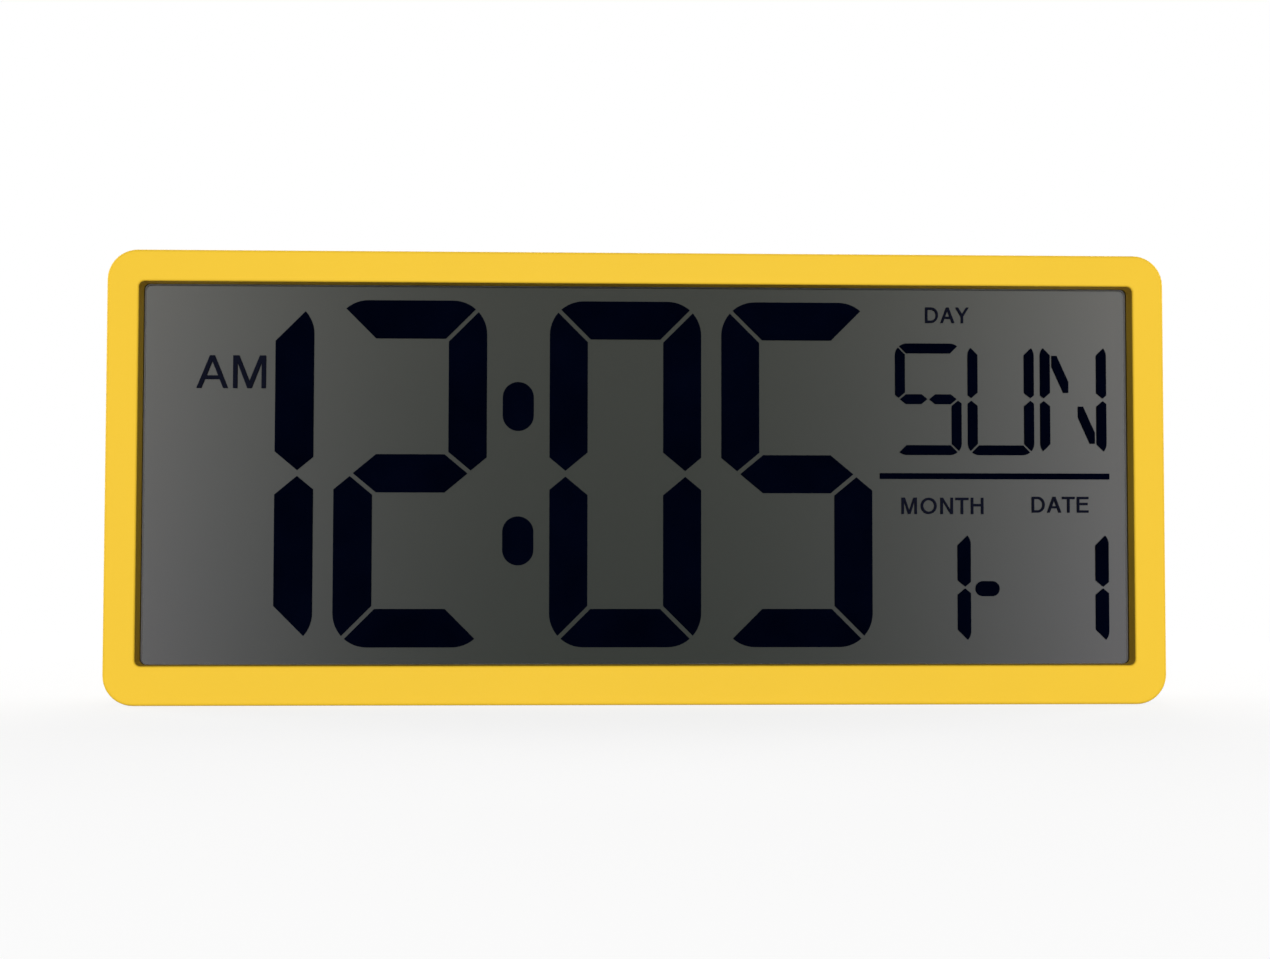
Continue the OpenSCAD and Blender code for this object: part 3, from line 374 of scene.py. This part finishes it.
CAPACITOR_SLEEVE = moulded_plastic("capacitor_sleeve", srgb(30, 36, 60), 0.35, 0.6 * MM, 0.005 * MM)
PRINT_INK = moulded_plastic("print_ink", srgb(58, 56, 50), 0.7, 0.2 * MM, 0.004 * MM, edge=0.02 * MM)
# Metals, rubbers, clear sheets and the display
SCREW_STEEL = plated_metal("screw_steel", srgb(190, 192, 196), 0.34)
CAN_STEEL = plated_metal("can_steel", srgb(206, 206, 202), 0.28)
NICKEL = plated_metal("contact_nickel", srgb(214, 208, 196), 0.26)
GASKET_FOAM = soft_rubber("gasket_foam", srgb(34, 34, 34), 0.4 * MM)
FOOT_RUBBER = soft_rubber("foot_rubber", srgb(46, 46, 48), 0.25 * MM)
LENS_ACRYLIC = clear_sheet("clear_acrylic", (1, 1, 1, 1), 0.2, 0.12)
LEDGE_GLASS = clear_sheet("display_glass", (0.9, 0.97, 0.93, 1), 0.4, 0.05)
DISPLAY_FIELD = display_field("reflector_film")
SEGMENT_DARK = dark_crystal("segment_dark", srgb(0, 1, 8), srgb(2, 5, 20))
LABEL_INK = dark_crystal("label_ink", srgb(14, 16, 26), srgb(18, 20, 34))
# Striped finishes: both colours, width of a stripe, axis and roughness
CONNECTOR_RUBBER = striped("connector_rubber", srgb(24, 24, 24), srgb(196, 176, 164), 0.25 * MM, "X", 0.7)
BOARD_LAMINATE = striped("board_laminate", srgb(22, 84, 52), srgb(34, 104, 66), 1.2 * MM, "Z", 0.4)

KEYS = ("mode", "set", "plus", "minus", "format")
FINISHES = {
    FRAME_PLASTIC: ["front_bezel"],
    COVER_PLASTIC: ["rear_cover", "battery_door", "stand_leg"],
    SCREW_STEEL: ["case_screws", "bracket_screws", "board_screws", "stand_pin"],
    GASKET_FOAM: ["lens_gasket"],
    LENS_ACRYLIC: ["display_lens"],
    SEGMENT_DARK: ["time_segments", "colon_dots", "calendar_segments"],
    BRACKET_PLASTIC: ["lcd_bracket"],
    CONNECTOR_RUBBER: ["connector_strip_left", "connector_strip_right"],
    BOARD_LAMINATE: ["main_board"],
    EPOXY_BLACK: ["controller_blob"],
    CAN_STEEL: ["quartz_crystal"],
    CAPACITOR_SLEEVE: ["filter_capacitor"],
    CHIP_CERAMIC: ["chip_resistors"],
    NICKEL: ["negative_contact", "positive_contact", "series_link"],
    SWITCH_PLASTIC: [f"{key}_switch" for key in KEYS],
    PLUNGER_PLASTIC: [f"{key}_plunger" for key in KEYS],
    BUTTON_PLASTIC: [f"{key}_button" for key in KEYS],
}
for finish, names in FINISHES.items():
    for name in names:
        NODES[name].material_slots[0].material = finish


# Pieces

def add_piece(name, mesh, materials, body, replaced=()):
    """Links a finished mesh as a piece that rides on a body."""
    piece = bpy.data.objects.new(name, mesh)
    SCENE.collection.objects.link(piece)
    for material in materials:
        mesh.materials.append(material)
    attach(piece, body)
    if replaced:
        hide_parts(*replaced)
    return piece


def mesh_of(name, made, smooth_below=None, turned_out=False):
    """Turns a bmesh into a mesh, smooth where its faces meet at less than that angle in degrees.

    Its faces are turned outward, unless they already are.
    """
    if not turned_out:
        bmesh.ops.recalc_face_normals(made, faces=made.faces)
    mesh = bpy.data.meshes.new(name)
    made.to_mesh(mesh)
    made.free()
    if smooth_below:
        mesh.shade_smooth()
        mesh.set_sharp_from_angle(angle=math.radians(smooth_below))
    return mesh


# Angle in degrees below which the faces of a turned or swept piece meet smoothly
ROUND_BELOW = 40


def rings_mesh(name, rings):
    """Skin over rings of points, one face strip between each ring and the next, closed at both ends."""
    made = bmesh.new()
    loops = [[made.verts.new(point) for point in ring] for ring in rings]
    for loop, following in zip(loops, loops[1:]):
        for i in range(len(loop)):
            j = (i + 1) % len(loop)
            made.faces.new((loop[i], loop[j], following[j], following[i]))
    made.faces.new(loops[0])
    made.faces.new(loops[-1])
    return mesh_of(name, made, ROUND_BELOW)


# Display panel: a shallow tray whose floor is the grey field, behind the segments and the lens

# How far the tray's rim reaches in from the lens's edge, and the air between two layers
RIM_REACH = 2.13 * MM
PANEL_GAP = 0.02 * MM
# Corner radius of the frame's window and of the glass, and the steps of a corner
WINDOW_CORNER = 2 * MM
GLASS_CORNER = 0.5 * MM
CORNER_STEPS = 6
PANEL_LAYERS = ["lcd_polarizer", "lcd_front_glass", "lcd_seal", "lcd_rear_glass", "lcd_reflector"]


def rectangle(low, high, y, inset=0.0, corner=GLASS_CORNER):
    """Outline of an upright rectangle with round corners at that depth."""
    left, right = low.x + inset + corner, high.x - inset - corner
    bottom, top = low.z + inset + corner, high.z - inset - corner
    points = []
    for quarter, (x, z) in enumerate(((right, top), (left, top), (left, bottom), (right, bottom))):
        for k in range(CORNER_STEPS + 1):
            turn = math.pi / 2 * (quarter + k / CORNER_STEPS)
            points.append(Vector((x + corner * math.cos(turn), y, z + corner * math.sin(turn))))
    return points


def display_panel():
    """The tray, and the strip of front glass above it that carries the contacts."""
    front_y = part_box("lcd_polarizer")[0].y + PANEL_GAP
    cell_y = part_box("lcd_seal")[0].y
    low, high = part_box("lcd_reflector")
    lens_low, lens_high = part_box("display_lens")
    rings = [
        rectangle(low, high, high.y),
        rectangle(low, high, front_y),
        rectangle(lens_low, lens_high, front_y, RIM_REACH, WINDOW_CORNER),
        rectangle(lens_low, lens_high, low.y, RIM_REACH, WINDOW_CORNER),
    ]
    tray = rings_mesh("lcd_panel", rings)
    finishes = [SEAL_RESIN, DISPLAY_FIELD, CELL_EDGE]
    strip = len(rings[0])
    inner_walls = tray.polygons[2 * strip:3 * strip]
    for face in inner_walls:
        face.material_index = finishes.index(CELL_EDGE)
    tray.polygons[-1].material_index = finishes.index(DISPLAY_FIELD)
    add_piece("lcd_panel", tray, finishes, "case", PANEL_LAYERS)
    glass_low, glass_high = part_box("lcd_front_glass")
    ledge_low = Vector((glass_low.x, front_y, high.z + PANEL_GAP))
    ledge = rings_mesh("lcd_contact_ledge", [
        rectangle(ledge_low, glass_high, front_y, PANEL_GAP),
        rectangle(ledge_low, glass_high, front_y + PANEL_GAP),
        rectangle(ledge_low, glass_high, cell_y - PANEL_GAP),
    ])
    add_piece("lcd_contact_ledge", ledge, [LEDGE_GLASS], "case")


display_panel()


# Letters of the display labels: plain capitals of height 1, each given by its width and its loops

# Steps of a letter's bow
ARC_STEPS = 20
# Room between two letters: straight ones, an open one beside a straight one, and two open ones
LETTER_GAPS = (0.24, 0.15, 0.06)
OPEN_LETTERS = "ATY"


def bow(centre_x, reach_x, reach_z, turn=math.pi):
    """Points on a bow about half the height, from its lowest point anticlockwise."""
    count = ARC_STEPS if turn == math.tau else ARC_STEPS + 1
    angles = (-math.pi / 2 + turn * k / ARC_STEPS for k in range(count))
    return [(centre_x + reach_x * math.cos(a), 0.5 + reach_z * math.sin(a)) for a in angles]


def letter_a(stroke):
    width, foot, bar = 0.94, 1.1 * stroke, 0.27
    lean = width / 2 - 0.55 * stroke
    bar_top = bar + 0.9 * stroke

    def inside(height):
        return foot + lean * height

    peak = (width / 2 - foot) / lean
    outer = [(0, 0), (foot, 0), (inside(bar), bar), (width - inside(bar), bar), (width - foot, 0),
             (width, 0), (width - lean, 1), (lean, 1)]
    hole = [(inside(bar_top), bar_top), (width - inside(bar_top), bar_top), (width / 2, peak)]
    return width, [outer, hole]


def letter_d(stroke):
    width, bowl = 0.86, 0.38
    reach = width - bowl
    outer = [(0, 0), *bow(bowl, reach, 0.5), (0, 1)]
    hole = [(stroke, stroke), *bow(bowl, reach - stroke, 0.5 - stroke), (stroke, 1 - stroke)]
    return width, [outer, hole]


def letter_e(stroke):
    width, bar = 0.76, 0.47
    tongue = 0.92 * width
    return width, [[(0, 0), (width, 0), (width, stroke), (stroke, stroke), (stroke, bar), (tongue, bar),
                    (tongue, bar + stroke), (stroke, bar + stroke), (stroke, 1 - stroke),
                    (width, 1 - stroke), (width, 1), (0, 1)]]


def letter_h(stroke):
    width, bar = 0.8, 0.47
    right = width - stroke
    return width, [[(0, 0), (stroke, 0), (stroke, bar), (right, bar), (right, 0), (width, 0),
                    (width, 1), (right, 1), (right, bar + stroke), (stroke, bar + stroke),
                    (stroke, 1), (0, 1)]]


def letter_m(stroke):
    width, dip = 0.98, 0.22
    middle, right, shoulder = width / 2, width - stroke, 1.4 * stroke
    return width, [[(0, 0), (stroke, 0), (stroke, 1 - dip), (middle - stroke / 2, 0),
                    (middle + stroke / 2, 0), (right, 1 - dip), (right, 0), (width, 0),
                    (width, 1), (width - shoulder, 1), (middle, dip), (shoulder, 1), (0, 1)]]


def letter_n(stroke):
    width, dip = 0.8, 0.24
    right = width - stroke
    return width, [[(0, 0), (stroke, 0), (stroke, 1 - dip), (right, 0), (width, 0),
                    (width, 1), (right, 1), (right, dip), (stroke, 1), (0, 1)]]


def letter_o(stroke):
    width = 1.02
    return width, [bow(width / 2, width / 2, 0.5, math.tau),
                   bow(width / 2, width / 2 - stroke, 0.5 - stroke, math.tau)]


def letter_t(stroke):
    width = 0.84
    left, right = (width - stroke) / 2, (width + stroke) / 2
    return width, [[(left, 0), (right, 0), (right, 1 - stroke), (width, 1 - stroke), (width, 1), (0, 1),
                    (0, 1 - stroke), (left, 1 - stroke)]]


def letter_y(stroke):
    width, fork = 0.9, 0.42
    left, right, arm = (width - stroke) / 2, (width + stroke) / 2, 1.2 * stroke
    notch = 1 - (width / 2 - arm) * (1 - fork) / left
    return width, [[(left, 0), (right, 0), (right, fork), (width, 1), (width - arm, 1),
                    (width / 2, notch), (arm, 1), (0, 1), (left, fork)]]


LETTERS = {"A": letter_a, "D": letter_d, "E": letter_e, "H": letter_h, "M": letter_m, "N": letter_n,
           "O": letter_o, "T": letter_t, "Y": letter_y}


def word_outlines(word, stroke):
    """Width of a word of height 1 in that stroke, and the loops of each of its letters."""
    letters = []
    across = 0
    for letter, before in zip(word, " " + word):
        if before != " ":
            across += LETTER_GAPS[(letter in OPEN_LETTERS) + (before in OPEN_LETTERS)]
        width, loops = LETTERS[letter](stroke)
        letters.append([[(across + x, z) for x, z in loop] for loop in loops])
        across += width
    return across, letters


def label(word, stroke, box, depths):
    """A label that fills a box (left, right, bottom, top) between two depths."""
    left, right, bottom, top = box
    width, letters = word_outlines(word, stroke)
    made = bmesh.new()

    def corner(x, y, z):
        return made.verts.new((left + x / width * (right - left), y, bottom + z * (top - bottom)))

    for loops in letters:
        sides = [[[corner(x, y, z) for x, z in loop] for loop in loops] for y in depths]
        for side in sides:
            points = [vertex for loop in side for vertex in loop]
            for triangle in tessellate_polygon([[vertex.co for vertex in loop] for loop in side]):
                made.faces.new([points[k] for k in triangle])
        for front, back in zip(*sides):
            for k in range(len(front)):
                made.faces.new((front[k - 1], front[k], back[k], back[k - 1]))
    name = f"label_{word.lower()}"
    add_piece(name, mesh_of(name, made), [LABEL_INK], "case")


# Stroke width of the large label and of the small ones, as a share of their height
LARGE_STROKE = 0.13
SMALL_STROKE = 0.155
# Labels in the layer of the segments: stroke, and left, right, bottom and top in millimetres
LABELS = {
    "AM": (LARGE_STROKE, (-156.1, -131.8, 110.6, 122.2)),
    "DAY": (SMALL_STROKE, (102.3, 118.0, 135.0, 140.6)),
    "MONTH": (SMALL_STROKE, (93.5, 122.9, 66.6, 72.5)),
    "DATE": (SMALL_STROKE, (140.3, 160.7, 67.2, 72.9)),
}
segments_low, segments_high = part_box("calendar_segments")
for word, (stroke, box) in LABELS.items():
    label(word, stroke, [side * MM for side in box], (segments_low.y, segments_high.y))


# Contact springs: a tapering coil with straight ends

SPRING_TURNS = 4.5
SPRING_WIRE_R = 0.35 * MM
SPRING_WIDE_R = 4.2 * MM
SPRING_NARROW_R = 3 * MM
RINGS_PER_TURN = 28
WIRE_SIDES = 12


def spring(level, plate, cell_end, axis_y, axis_z):
    """A coil from its plate to the end of the cell it presses on."""
    length = abs(cell_end - plate)
    way = 1 if cell_end > plate else -1
    lead = 2 * SPRING_WIRE_R
    steps = round(SPRING_TURNS * RINGS_PER_TURN)

    def place(along, radius, turn):
        y = axis_y + radius * math.cos(turn)
        z = axis_z + way * radius * math.sin(turn)
        return Vector((plate + way * along, y, z))

    path = [place(0, SPRING_WIDE_R, 0)]
    for i in range(steps + 1):
        share = i / steps
        path.append(place(lead + (length - 2 * lead) * share,
                          SPRING_WIDE_R + (SPRING_NARROW_R - SPRING_WIDE_R) * share,
                          math.tau * SPRING_TURNS * share))
    path.append(place(length, SPRING_NARROW_R, math.tau * SPRING_TURNS))
    rings = []
    for i, point in enumerate(path):
        tangent = (path[min(i + 1, len(path) - 1)] - path[max(i - 1, 0)]).normalized()
        outward = Vector((0, point.y - axis_y, point.z - axis_z))
        outward = (outward - tangent * outward.dot(tangent)).normalized()
        side = tangent.cross(outward)
        rings.append([point + SPRING_WIRE_R * (math.cos(a) * outward + math.sin(a) * side)
                      for a in (math.tau * k / WIRE_SIDES for k in range(WIRE_SIDES))])
    mesh = rings_mesh(f"coil_{level}", rings)
    add_piece(f"coil_{level}", mesh, [NICKEL], "case", [f"battery_spring_{level}"])


for level in ("upper", "lower"):
    low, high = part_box(f"battery_spring_{level}")
    ends = (low.x, high.x) if level == "upper" else (high.x, low.x)
    cell_low, cell_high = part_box(f"aa_cell_{level}")
    cell_middle = (cell_low + cell_high) / 2
    spring(level, *ends, cell_middle.y, cell_middle.z)


# AA cells, turned from a profile: place along the axis from the flat end, and radius, in millimetres

CELL_SIDES = 64
CELL_PROFILE = [
    (0.0, 0.0), (0.0, 4.6), (0.15, 4.9), (0.5, 5.1), (0.5, 5.9), (0.2, 6.2),
    (0.12, 6.5), (0.35, 6.95), (0.9, 7.25), (24.0, 7.25), (48.2, 7.25), (48.7, 7.05),
    (48.95, 6.6), (48.9, 6.0), (48.6, 5.7), (48.6, 3.6), (48.75, 3.3), (48.9, 2.75),
    (50.2, 2.75), (50.45, 2.5), (50.5, 2.1), (50.5, 0.0),
]
# Places on the profile where the sleeve starts and ends, and where the terminal starts
SLEEVE_FROM, SLEEVE_TO, TERMINAL_FROM = 7, 13, 16


def cell(level, flat_end, terminal_end):
    """A cell with crimped ends, a sleeve that laps over both shoulders and a raised terminal."""
    low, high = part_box(f"aa_cell_{level}")
    middle = (low + high) / 2
    way = 1 if terminal_end > flat_end else -1
    wrap = printed_wrap(f"cell_wrap_{level}", flat_end, terminal_end)
    finishes = [wrap, NICKEL, INSULATOR]
    made = bmesh.new()

    def ring(x, radius):
        """Points of the profile all round the axis, or one point on it."""
        sides = CELL_SIDES if radius else 1
        turns = [math.tau * k / sides for k in range(sides)]
        points = [(radius * math.cos(turn), radius * math.sin(turn)) for turn in turns]
        return [made.verts.new((x, middle.y + y, middle.z + z)) for y, z in points]

    rings = [ring(flat_end + way * along * MM, radius * MM) for along, radius in CELL_PROFILE]
    for place, pair in enumerate(zip(rings, rings[1:])):
        finish = NICKEL
        if SLEEVE_FROM <= place < SLEEVE_TO:
            finish = wrap
        elif SLEEVE_TO <= place < TERMINAL_FROM:
            finish = INSULATOR
        for k in range(CELL_SIDES):
            first, second = ([loop[k % len(loop)], loop[(k + 1) % len(loop)]] for loop in pair)
            corners = dict.fromkeys([*first, *reversed(second)])
            made.faces.new(list(corners)).material_index = finishes.index(finish)
    mesh = mesh_of(f"cell_{level}", made, ROUND_BELOW)
    add_piece(f"cell_{level}", mesh, finishes, "case", [f"aa_cell_{level}"])


upper_low, upper_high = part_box("aa_cell_upper")
lower_low, lower_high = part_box("aa_cell_lower")
cell("upper", upper_low.x, upper_high.x)
cell("lower", lower_high.x, lower_low.x)


# Rubber foot under the stand's leg: a rounded strip with cross grooves

# Depth and distance of the grooves, edge radius and the steps of an edge
FOOT_GROOVE = 0.3 * MM
FOOT_PITCH = 4 * MM
FOOT_EDGE = 0.4 * MM
FOOT_ARC = 4
# How far the outline is pulled in at the foot's two ends
FOOT_END = 0.36 * MM
# Half a groove's width at its mouth and at its bottom, and an end's slope, as shares of the pitch
GROOVE_MOUTH, GROOVE_BOTTOM, END_SLOPE = 0.16, 0.08, 0.1


def foot():
    """The strip, made of rounded outlines from one end to the other."""
    low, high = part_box("stand_foot")

    def section(x, shrink=0.0, groove=0.0):
        """Rounded outline across the foot, pulled in all round and cut up from below."""
        left, right = low.y + FOOT_EDGE, high.y - FOOT_EDGE
        bottom, top = low.z + groove + FOOT_EDGE, high.z - FOOT_EDGE
        radius = FOOT_EDGE - shrink
        points = []
        for quarter, (y, z) in enumerate(((right, top), (left, top), (left, bottom), (right, bottom))):
            for k in range(FOOT_ARC + 1):
                turn = math.pi / 2 * (quarter + k / FOOT_ARC)
                points.append((x, y + radius * math.cos(turn), z + radius * math.sin(turn)))
        return points

    count = round((high.x - low.x) / FOOT_PITCH)
    pitch = (high.x - low.x) / count
    rings = [section(low.x, shrink=FOOT_END), section(low.x + END_SLOPE * pitch)]
    for i in range(1, count):
        x = low.x + i * pitch
        rings += [
            section(x - GROOVE_MOUTH * pitch),
            section(x - GROOVE_BOTTOM * pitch, groove=FOOT_GROOVE),
            section(x + GROOVE_BOTTOM * pitch, groove=FOOT_GROOVE),
            section(x + GROOVE_MOUTH * pitch),
        ]
    rings += [section(high.x - END_SLOPE * pitch), section(high.x, shrink=FOOT_END)]
    mesh = rings_mesh("rubber_foot", rings)
    add_piece("rubber_foot", mesh, [FOOT_RUBBER], "stand", ["stand_foot"])


foot()


# Signs on the back: raised on the caps, and printed beside them

# How far the signs and the print stand up
SIGN_UP = 0.2 * MM
PRINT_UP = 0.02 * MM
# Height of a word, its distance from a button's well, and the well's radius
WORD_H = 2.6 * MM
WORD_GAP = 2.2 * MM
WELL_R = 7 * MM


def sign_mesh(name, outline, centre, depths):
    """A flat sign with upright sides, from its outline about a centre, seen from behind."""
    middle_x, middle_z = centre
    made = bmesh.new()
    corners = [made.verts.new((middle_x - x, depths[0], middle_z + z)) for x, z in outline]
    face = made.faces.new(corners)
    raised = bmesh.ops.extrude_face_region(made, geom=[face])["geom"]
    for vertex in (item for item in raised if isinstance(item, bmesh.types.BMVert)):
        vertex.co.y = depths[1]
    return mesh_of(name, made)


def plus_outline(reach, half):
    """Corners of a plus sign."""
    arm = ((half, half), (half, reach), (-half, reach))
    corners = []
    for quarter in range(4):
        turn = Matrix.Rotation(quarter * math.pi / 2, 2)
        corners += [turn @ Vector(corner) for corner in arm]
    return corners


def minus_outline(reach, half):
    """Corners of a minus sign."""
    return [(-reach, -half), (reach, -half), (reach, half), (-reach, half)]


# Length of a sign's arm from the middle, and half its width
SIGN_REACH, SIGN_HALF = 2.2 * MM, 0.4 * MM
SIGNS = {"plus": plus_outline, "minus": minus_outline}
for key, outline in SIGNS.items():
    low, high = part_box(f"{key}_button")
    centre = ((low.x + high.x) / 2, (low.z + high.z) / 2)
    mesh = sign_mesh(f"{key}_sign", outline(SIGN_REACH, SIGN_HALF), centre, (high.y, high.y + SIGN_UP))
    add_piece(f"{key}_sign", mesh, [SIGN_PLASTIC], f"{key}_key")


# In units of the font's size: how near two points of a letter are one, and half the letters' depth
FONT_WELD = 1e-5
FONT_DEPTH = 0.5


def lettering(name, words, box, depths):
    """Print on the cover, read from behind: fills a box (left, right, bottom, top) between two depths."""
    curve = bpy.data.curves.new(name, "FONT")
    curve.body = words
    curve.extrude = FONT_DEPTH
    text = bpy.data.objects.new(name + "_outline", curve)
    SCENE.collection.objects.link(text)
    graph = bpy.context.evaluated_depsgraph_get()
    mesh = bpy.data.meshes.new_from_object(text.evaluated_get(graph))
    bpy.data.objects.remove(text)
    made = bmesh.new()
    made.from_mesh(mesh)
    bpy.data.meshes.remove(mesh)
    bmesh.ops.remove_doubles(made, verts=made.verts, dist=FONT_WELD)
    bmesh.ops.recalc_face_normals(made, faces=made.faces)
    points = [vertex.co.copy() for vertex in made.verts]
    low = [min(p[i] for p in points) for i in range(3)]
    high = [max(p[i] for p in points) for i in range(3)]
    left, right, bottom, top = box
    for vertex, point in zip(made.verts, points):
        across, up, out = ((point[i] - low[i]) / (high[i] - low[i]) for i in range(3))
        vertex.co = (right - across * (right - left), depths[0] + out * (depths[1] - depths[0]),
                     bottom + up * (top - bottom))
    add_piece(name, mesh_of(name, made, turned_out=True), [PRINT_INK], "case")


PRINT_DEPTHS = (cad_box[1].y, cad_box[1].y + PRINT_UP)
# Words over the buttons, and their widths
WORDS = {"mode": ("MODE", 8.4 * MM), "set": ("SET", 5.6 * MM), "format": ("12/24", 8.0 * MM)}
for key, (words, width) in WORDS.items():
    low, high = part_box(f"{key}_button")
    middle = (low.x + high.x) / 2
    bottom = (low.z + high.z) / 2 + WELL_R + WORD_GAP
    box = (middle - width / 2, middle + width / 2, bottom, bottom + WORD_H)
    lettering(f"print_{key}", words, box, PRINT_DEPTHS)

# Arrow on the door: its length, half its height, and the distance of its middle from the door's end
ARROW_L, ARROW_HALF = 5 * MM, 3.2 * MM
ARROW_IN = 26 * MM
door_low, door_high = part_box("battery_door")
arrow = [(-ARROW_L / 2, 0), (ARROW_L / 2, -ARROW_HALF), (ARROW_L / 2, ARROW_HALF)]
arrow_centre = (door_high.x - ARROW_IN, (door_low.z + door_high.z) / 2)
arrow_mesh = sign_mesh("door_arrow", arrow, arrow_centre, PRINT_DEPTHS)
add_piece("door_arrow", arrow_mesh, [PRINT_INK], "door")


# Stage: floor, surroundings, lamps and camera

def seen_directly(tree):
    """1 for rays from the camera, also by way of gloss and glass, and 0 for rays that carry light."""
    path = node(tree, "ShaderNodeLightPath").outputs
    mirrored = maths(tree, "MAXIMUM", path["Is Glossy Ray"], path["Is Transmission Ray"])
    seen = maths(tree, "MAXIMUM", path["Is Camera Ray"], mirrored)
    return maths(tree, "MULTIPLY", seen, maths(tree, "LESS_THAN", path["Diffuse Depth"], 0.5))


def floor():
    """A white floor with the object's shadow, which runs out into the white surroundings."""
    made = bmesh.new()
    bmesh.ops.create_grid(made, x_segments=1, y_segments=1, size=FLOOR_HALF)
    plane = bpy.data.objects.new("floor", mesh_of("floor", made))
    SCENE.collection.objects.link(plane)
    material, tree = new_material("floor")
    distance = node(tree, "ShaderNodeVectorMath", {0: coordinates(tree)}, operation="LENGTH")
    glow = ranged(tree, distance.outputs["Value"], SHADOW_NEAR, SHADOW_FAR, FLOOR_GLOW, 1.0)
    seen = seen_directly(tree)
    share = maths(tree, "MULTIPLY", glow, seen)
    paleness = ranged(tree, seen, 0.0, 1.0, FLOOR_BOUNCE, FLOOR_PALE)
    pale = node(tree, "ShaderNodeBsdfDiffuse", {"Color": paleness})
    white = node(tree, "ShaderNodeEmission", {"Color": (1, 1, 1, 1)})
    show(tree, node(tree, "ShaderNodeMixShader", {0: share, 1: pale.outputs[0], 2: white.outputs[0]}))
    plane.data.materials.append(material)


def surroundings():
    """White where they are seen, and a low even light on the object."""
    world = bpy.data.worlds.new("studio")
    world.use_nodes = True
    world.node_tree.nodes.clear()
    tree = world.node_tree
    strength = ranged(tree, seen_directly(tree), 0.0, 1.0, AMBIENT, 1.0)
    back = node(tree, "ShaderNodeBackground", {"Color": (1, 1, 1, 1), "Strength": strength})
    node(tree, "ShaderNodeOutputWorld", {"Surface": back.outputs[0]})
    SCENE.world = world


def softbox(name, place, size, level):
    """A soft lamp aimed at the middle of the object, which lights a face square to it at that level."""
    aim = (cad_box[0] + cad_box[1]) / 2
    away = Vector(place) - aim
    lamp = bpy.data.lights.new(name, "AREA")
    lamp.shape = "RECTANGLE"
    lamp.size, lamp.size_y = size
    lamp.energy = level * math.pi ** 2 * away.length_squared
    holder = bpy.data.objects.new(name, lamp)
    holder.location = place
    holder.rotation_euler = away.to_track_quat("Z", "Y").to_euler()
    holder.visible_camera = False
    SCENE.collection.objects.link(holder)


def camera():
    """The camera at the photograph's place."""
    data = bpy.data.cameras.new("camera")
    data.sensor_width = SENSOR_W
    data.lens = CAMERA_LENS
    data.clip_start = 0.01
    data.clip_end = 50
    holder = bpy.data.objects.new("camera", data)
    holder.location = CAMERA_PLACE
    holder.rotation_euler = Euler([math.radians(turn) for turn in CAMERA_TURN])
    SCENE.collection.objects.link(holder)
    SCENE.camera = holder


floor()
surroundings()
for name, (place, size, level) in LAMPS.items():
    softbox(name, place, size, level)
camera()
SCENE.view_settings.view_transform = "Standard"
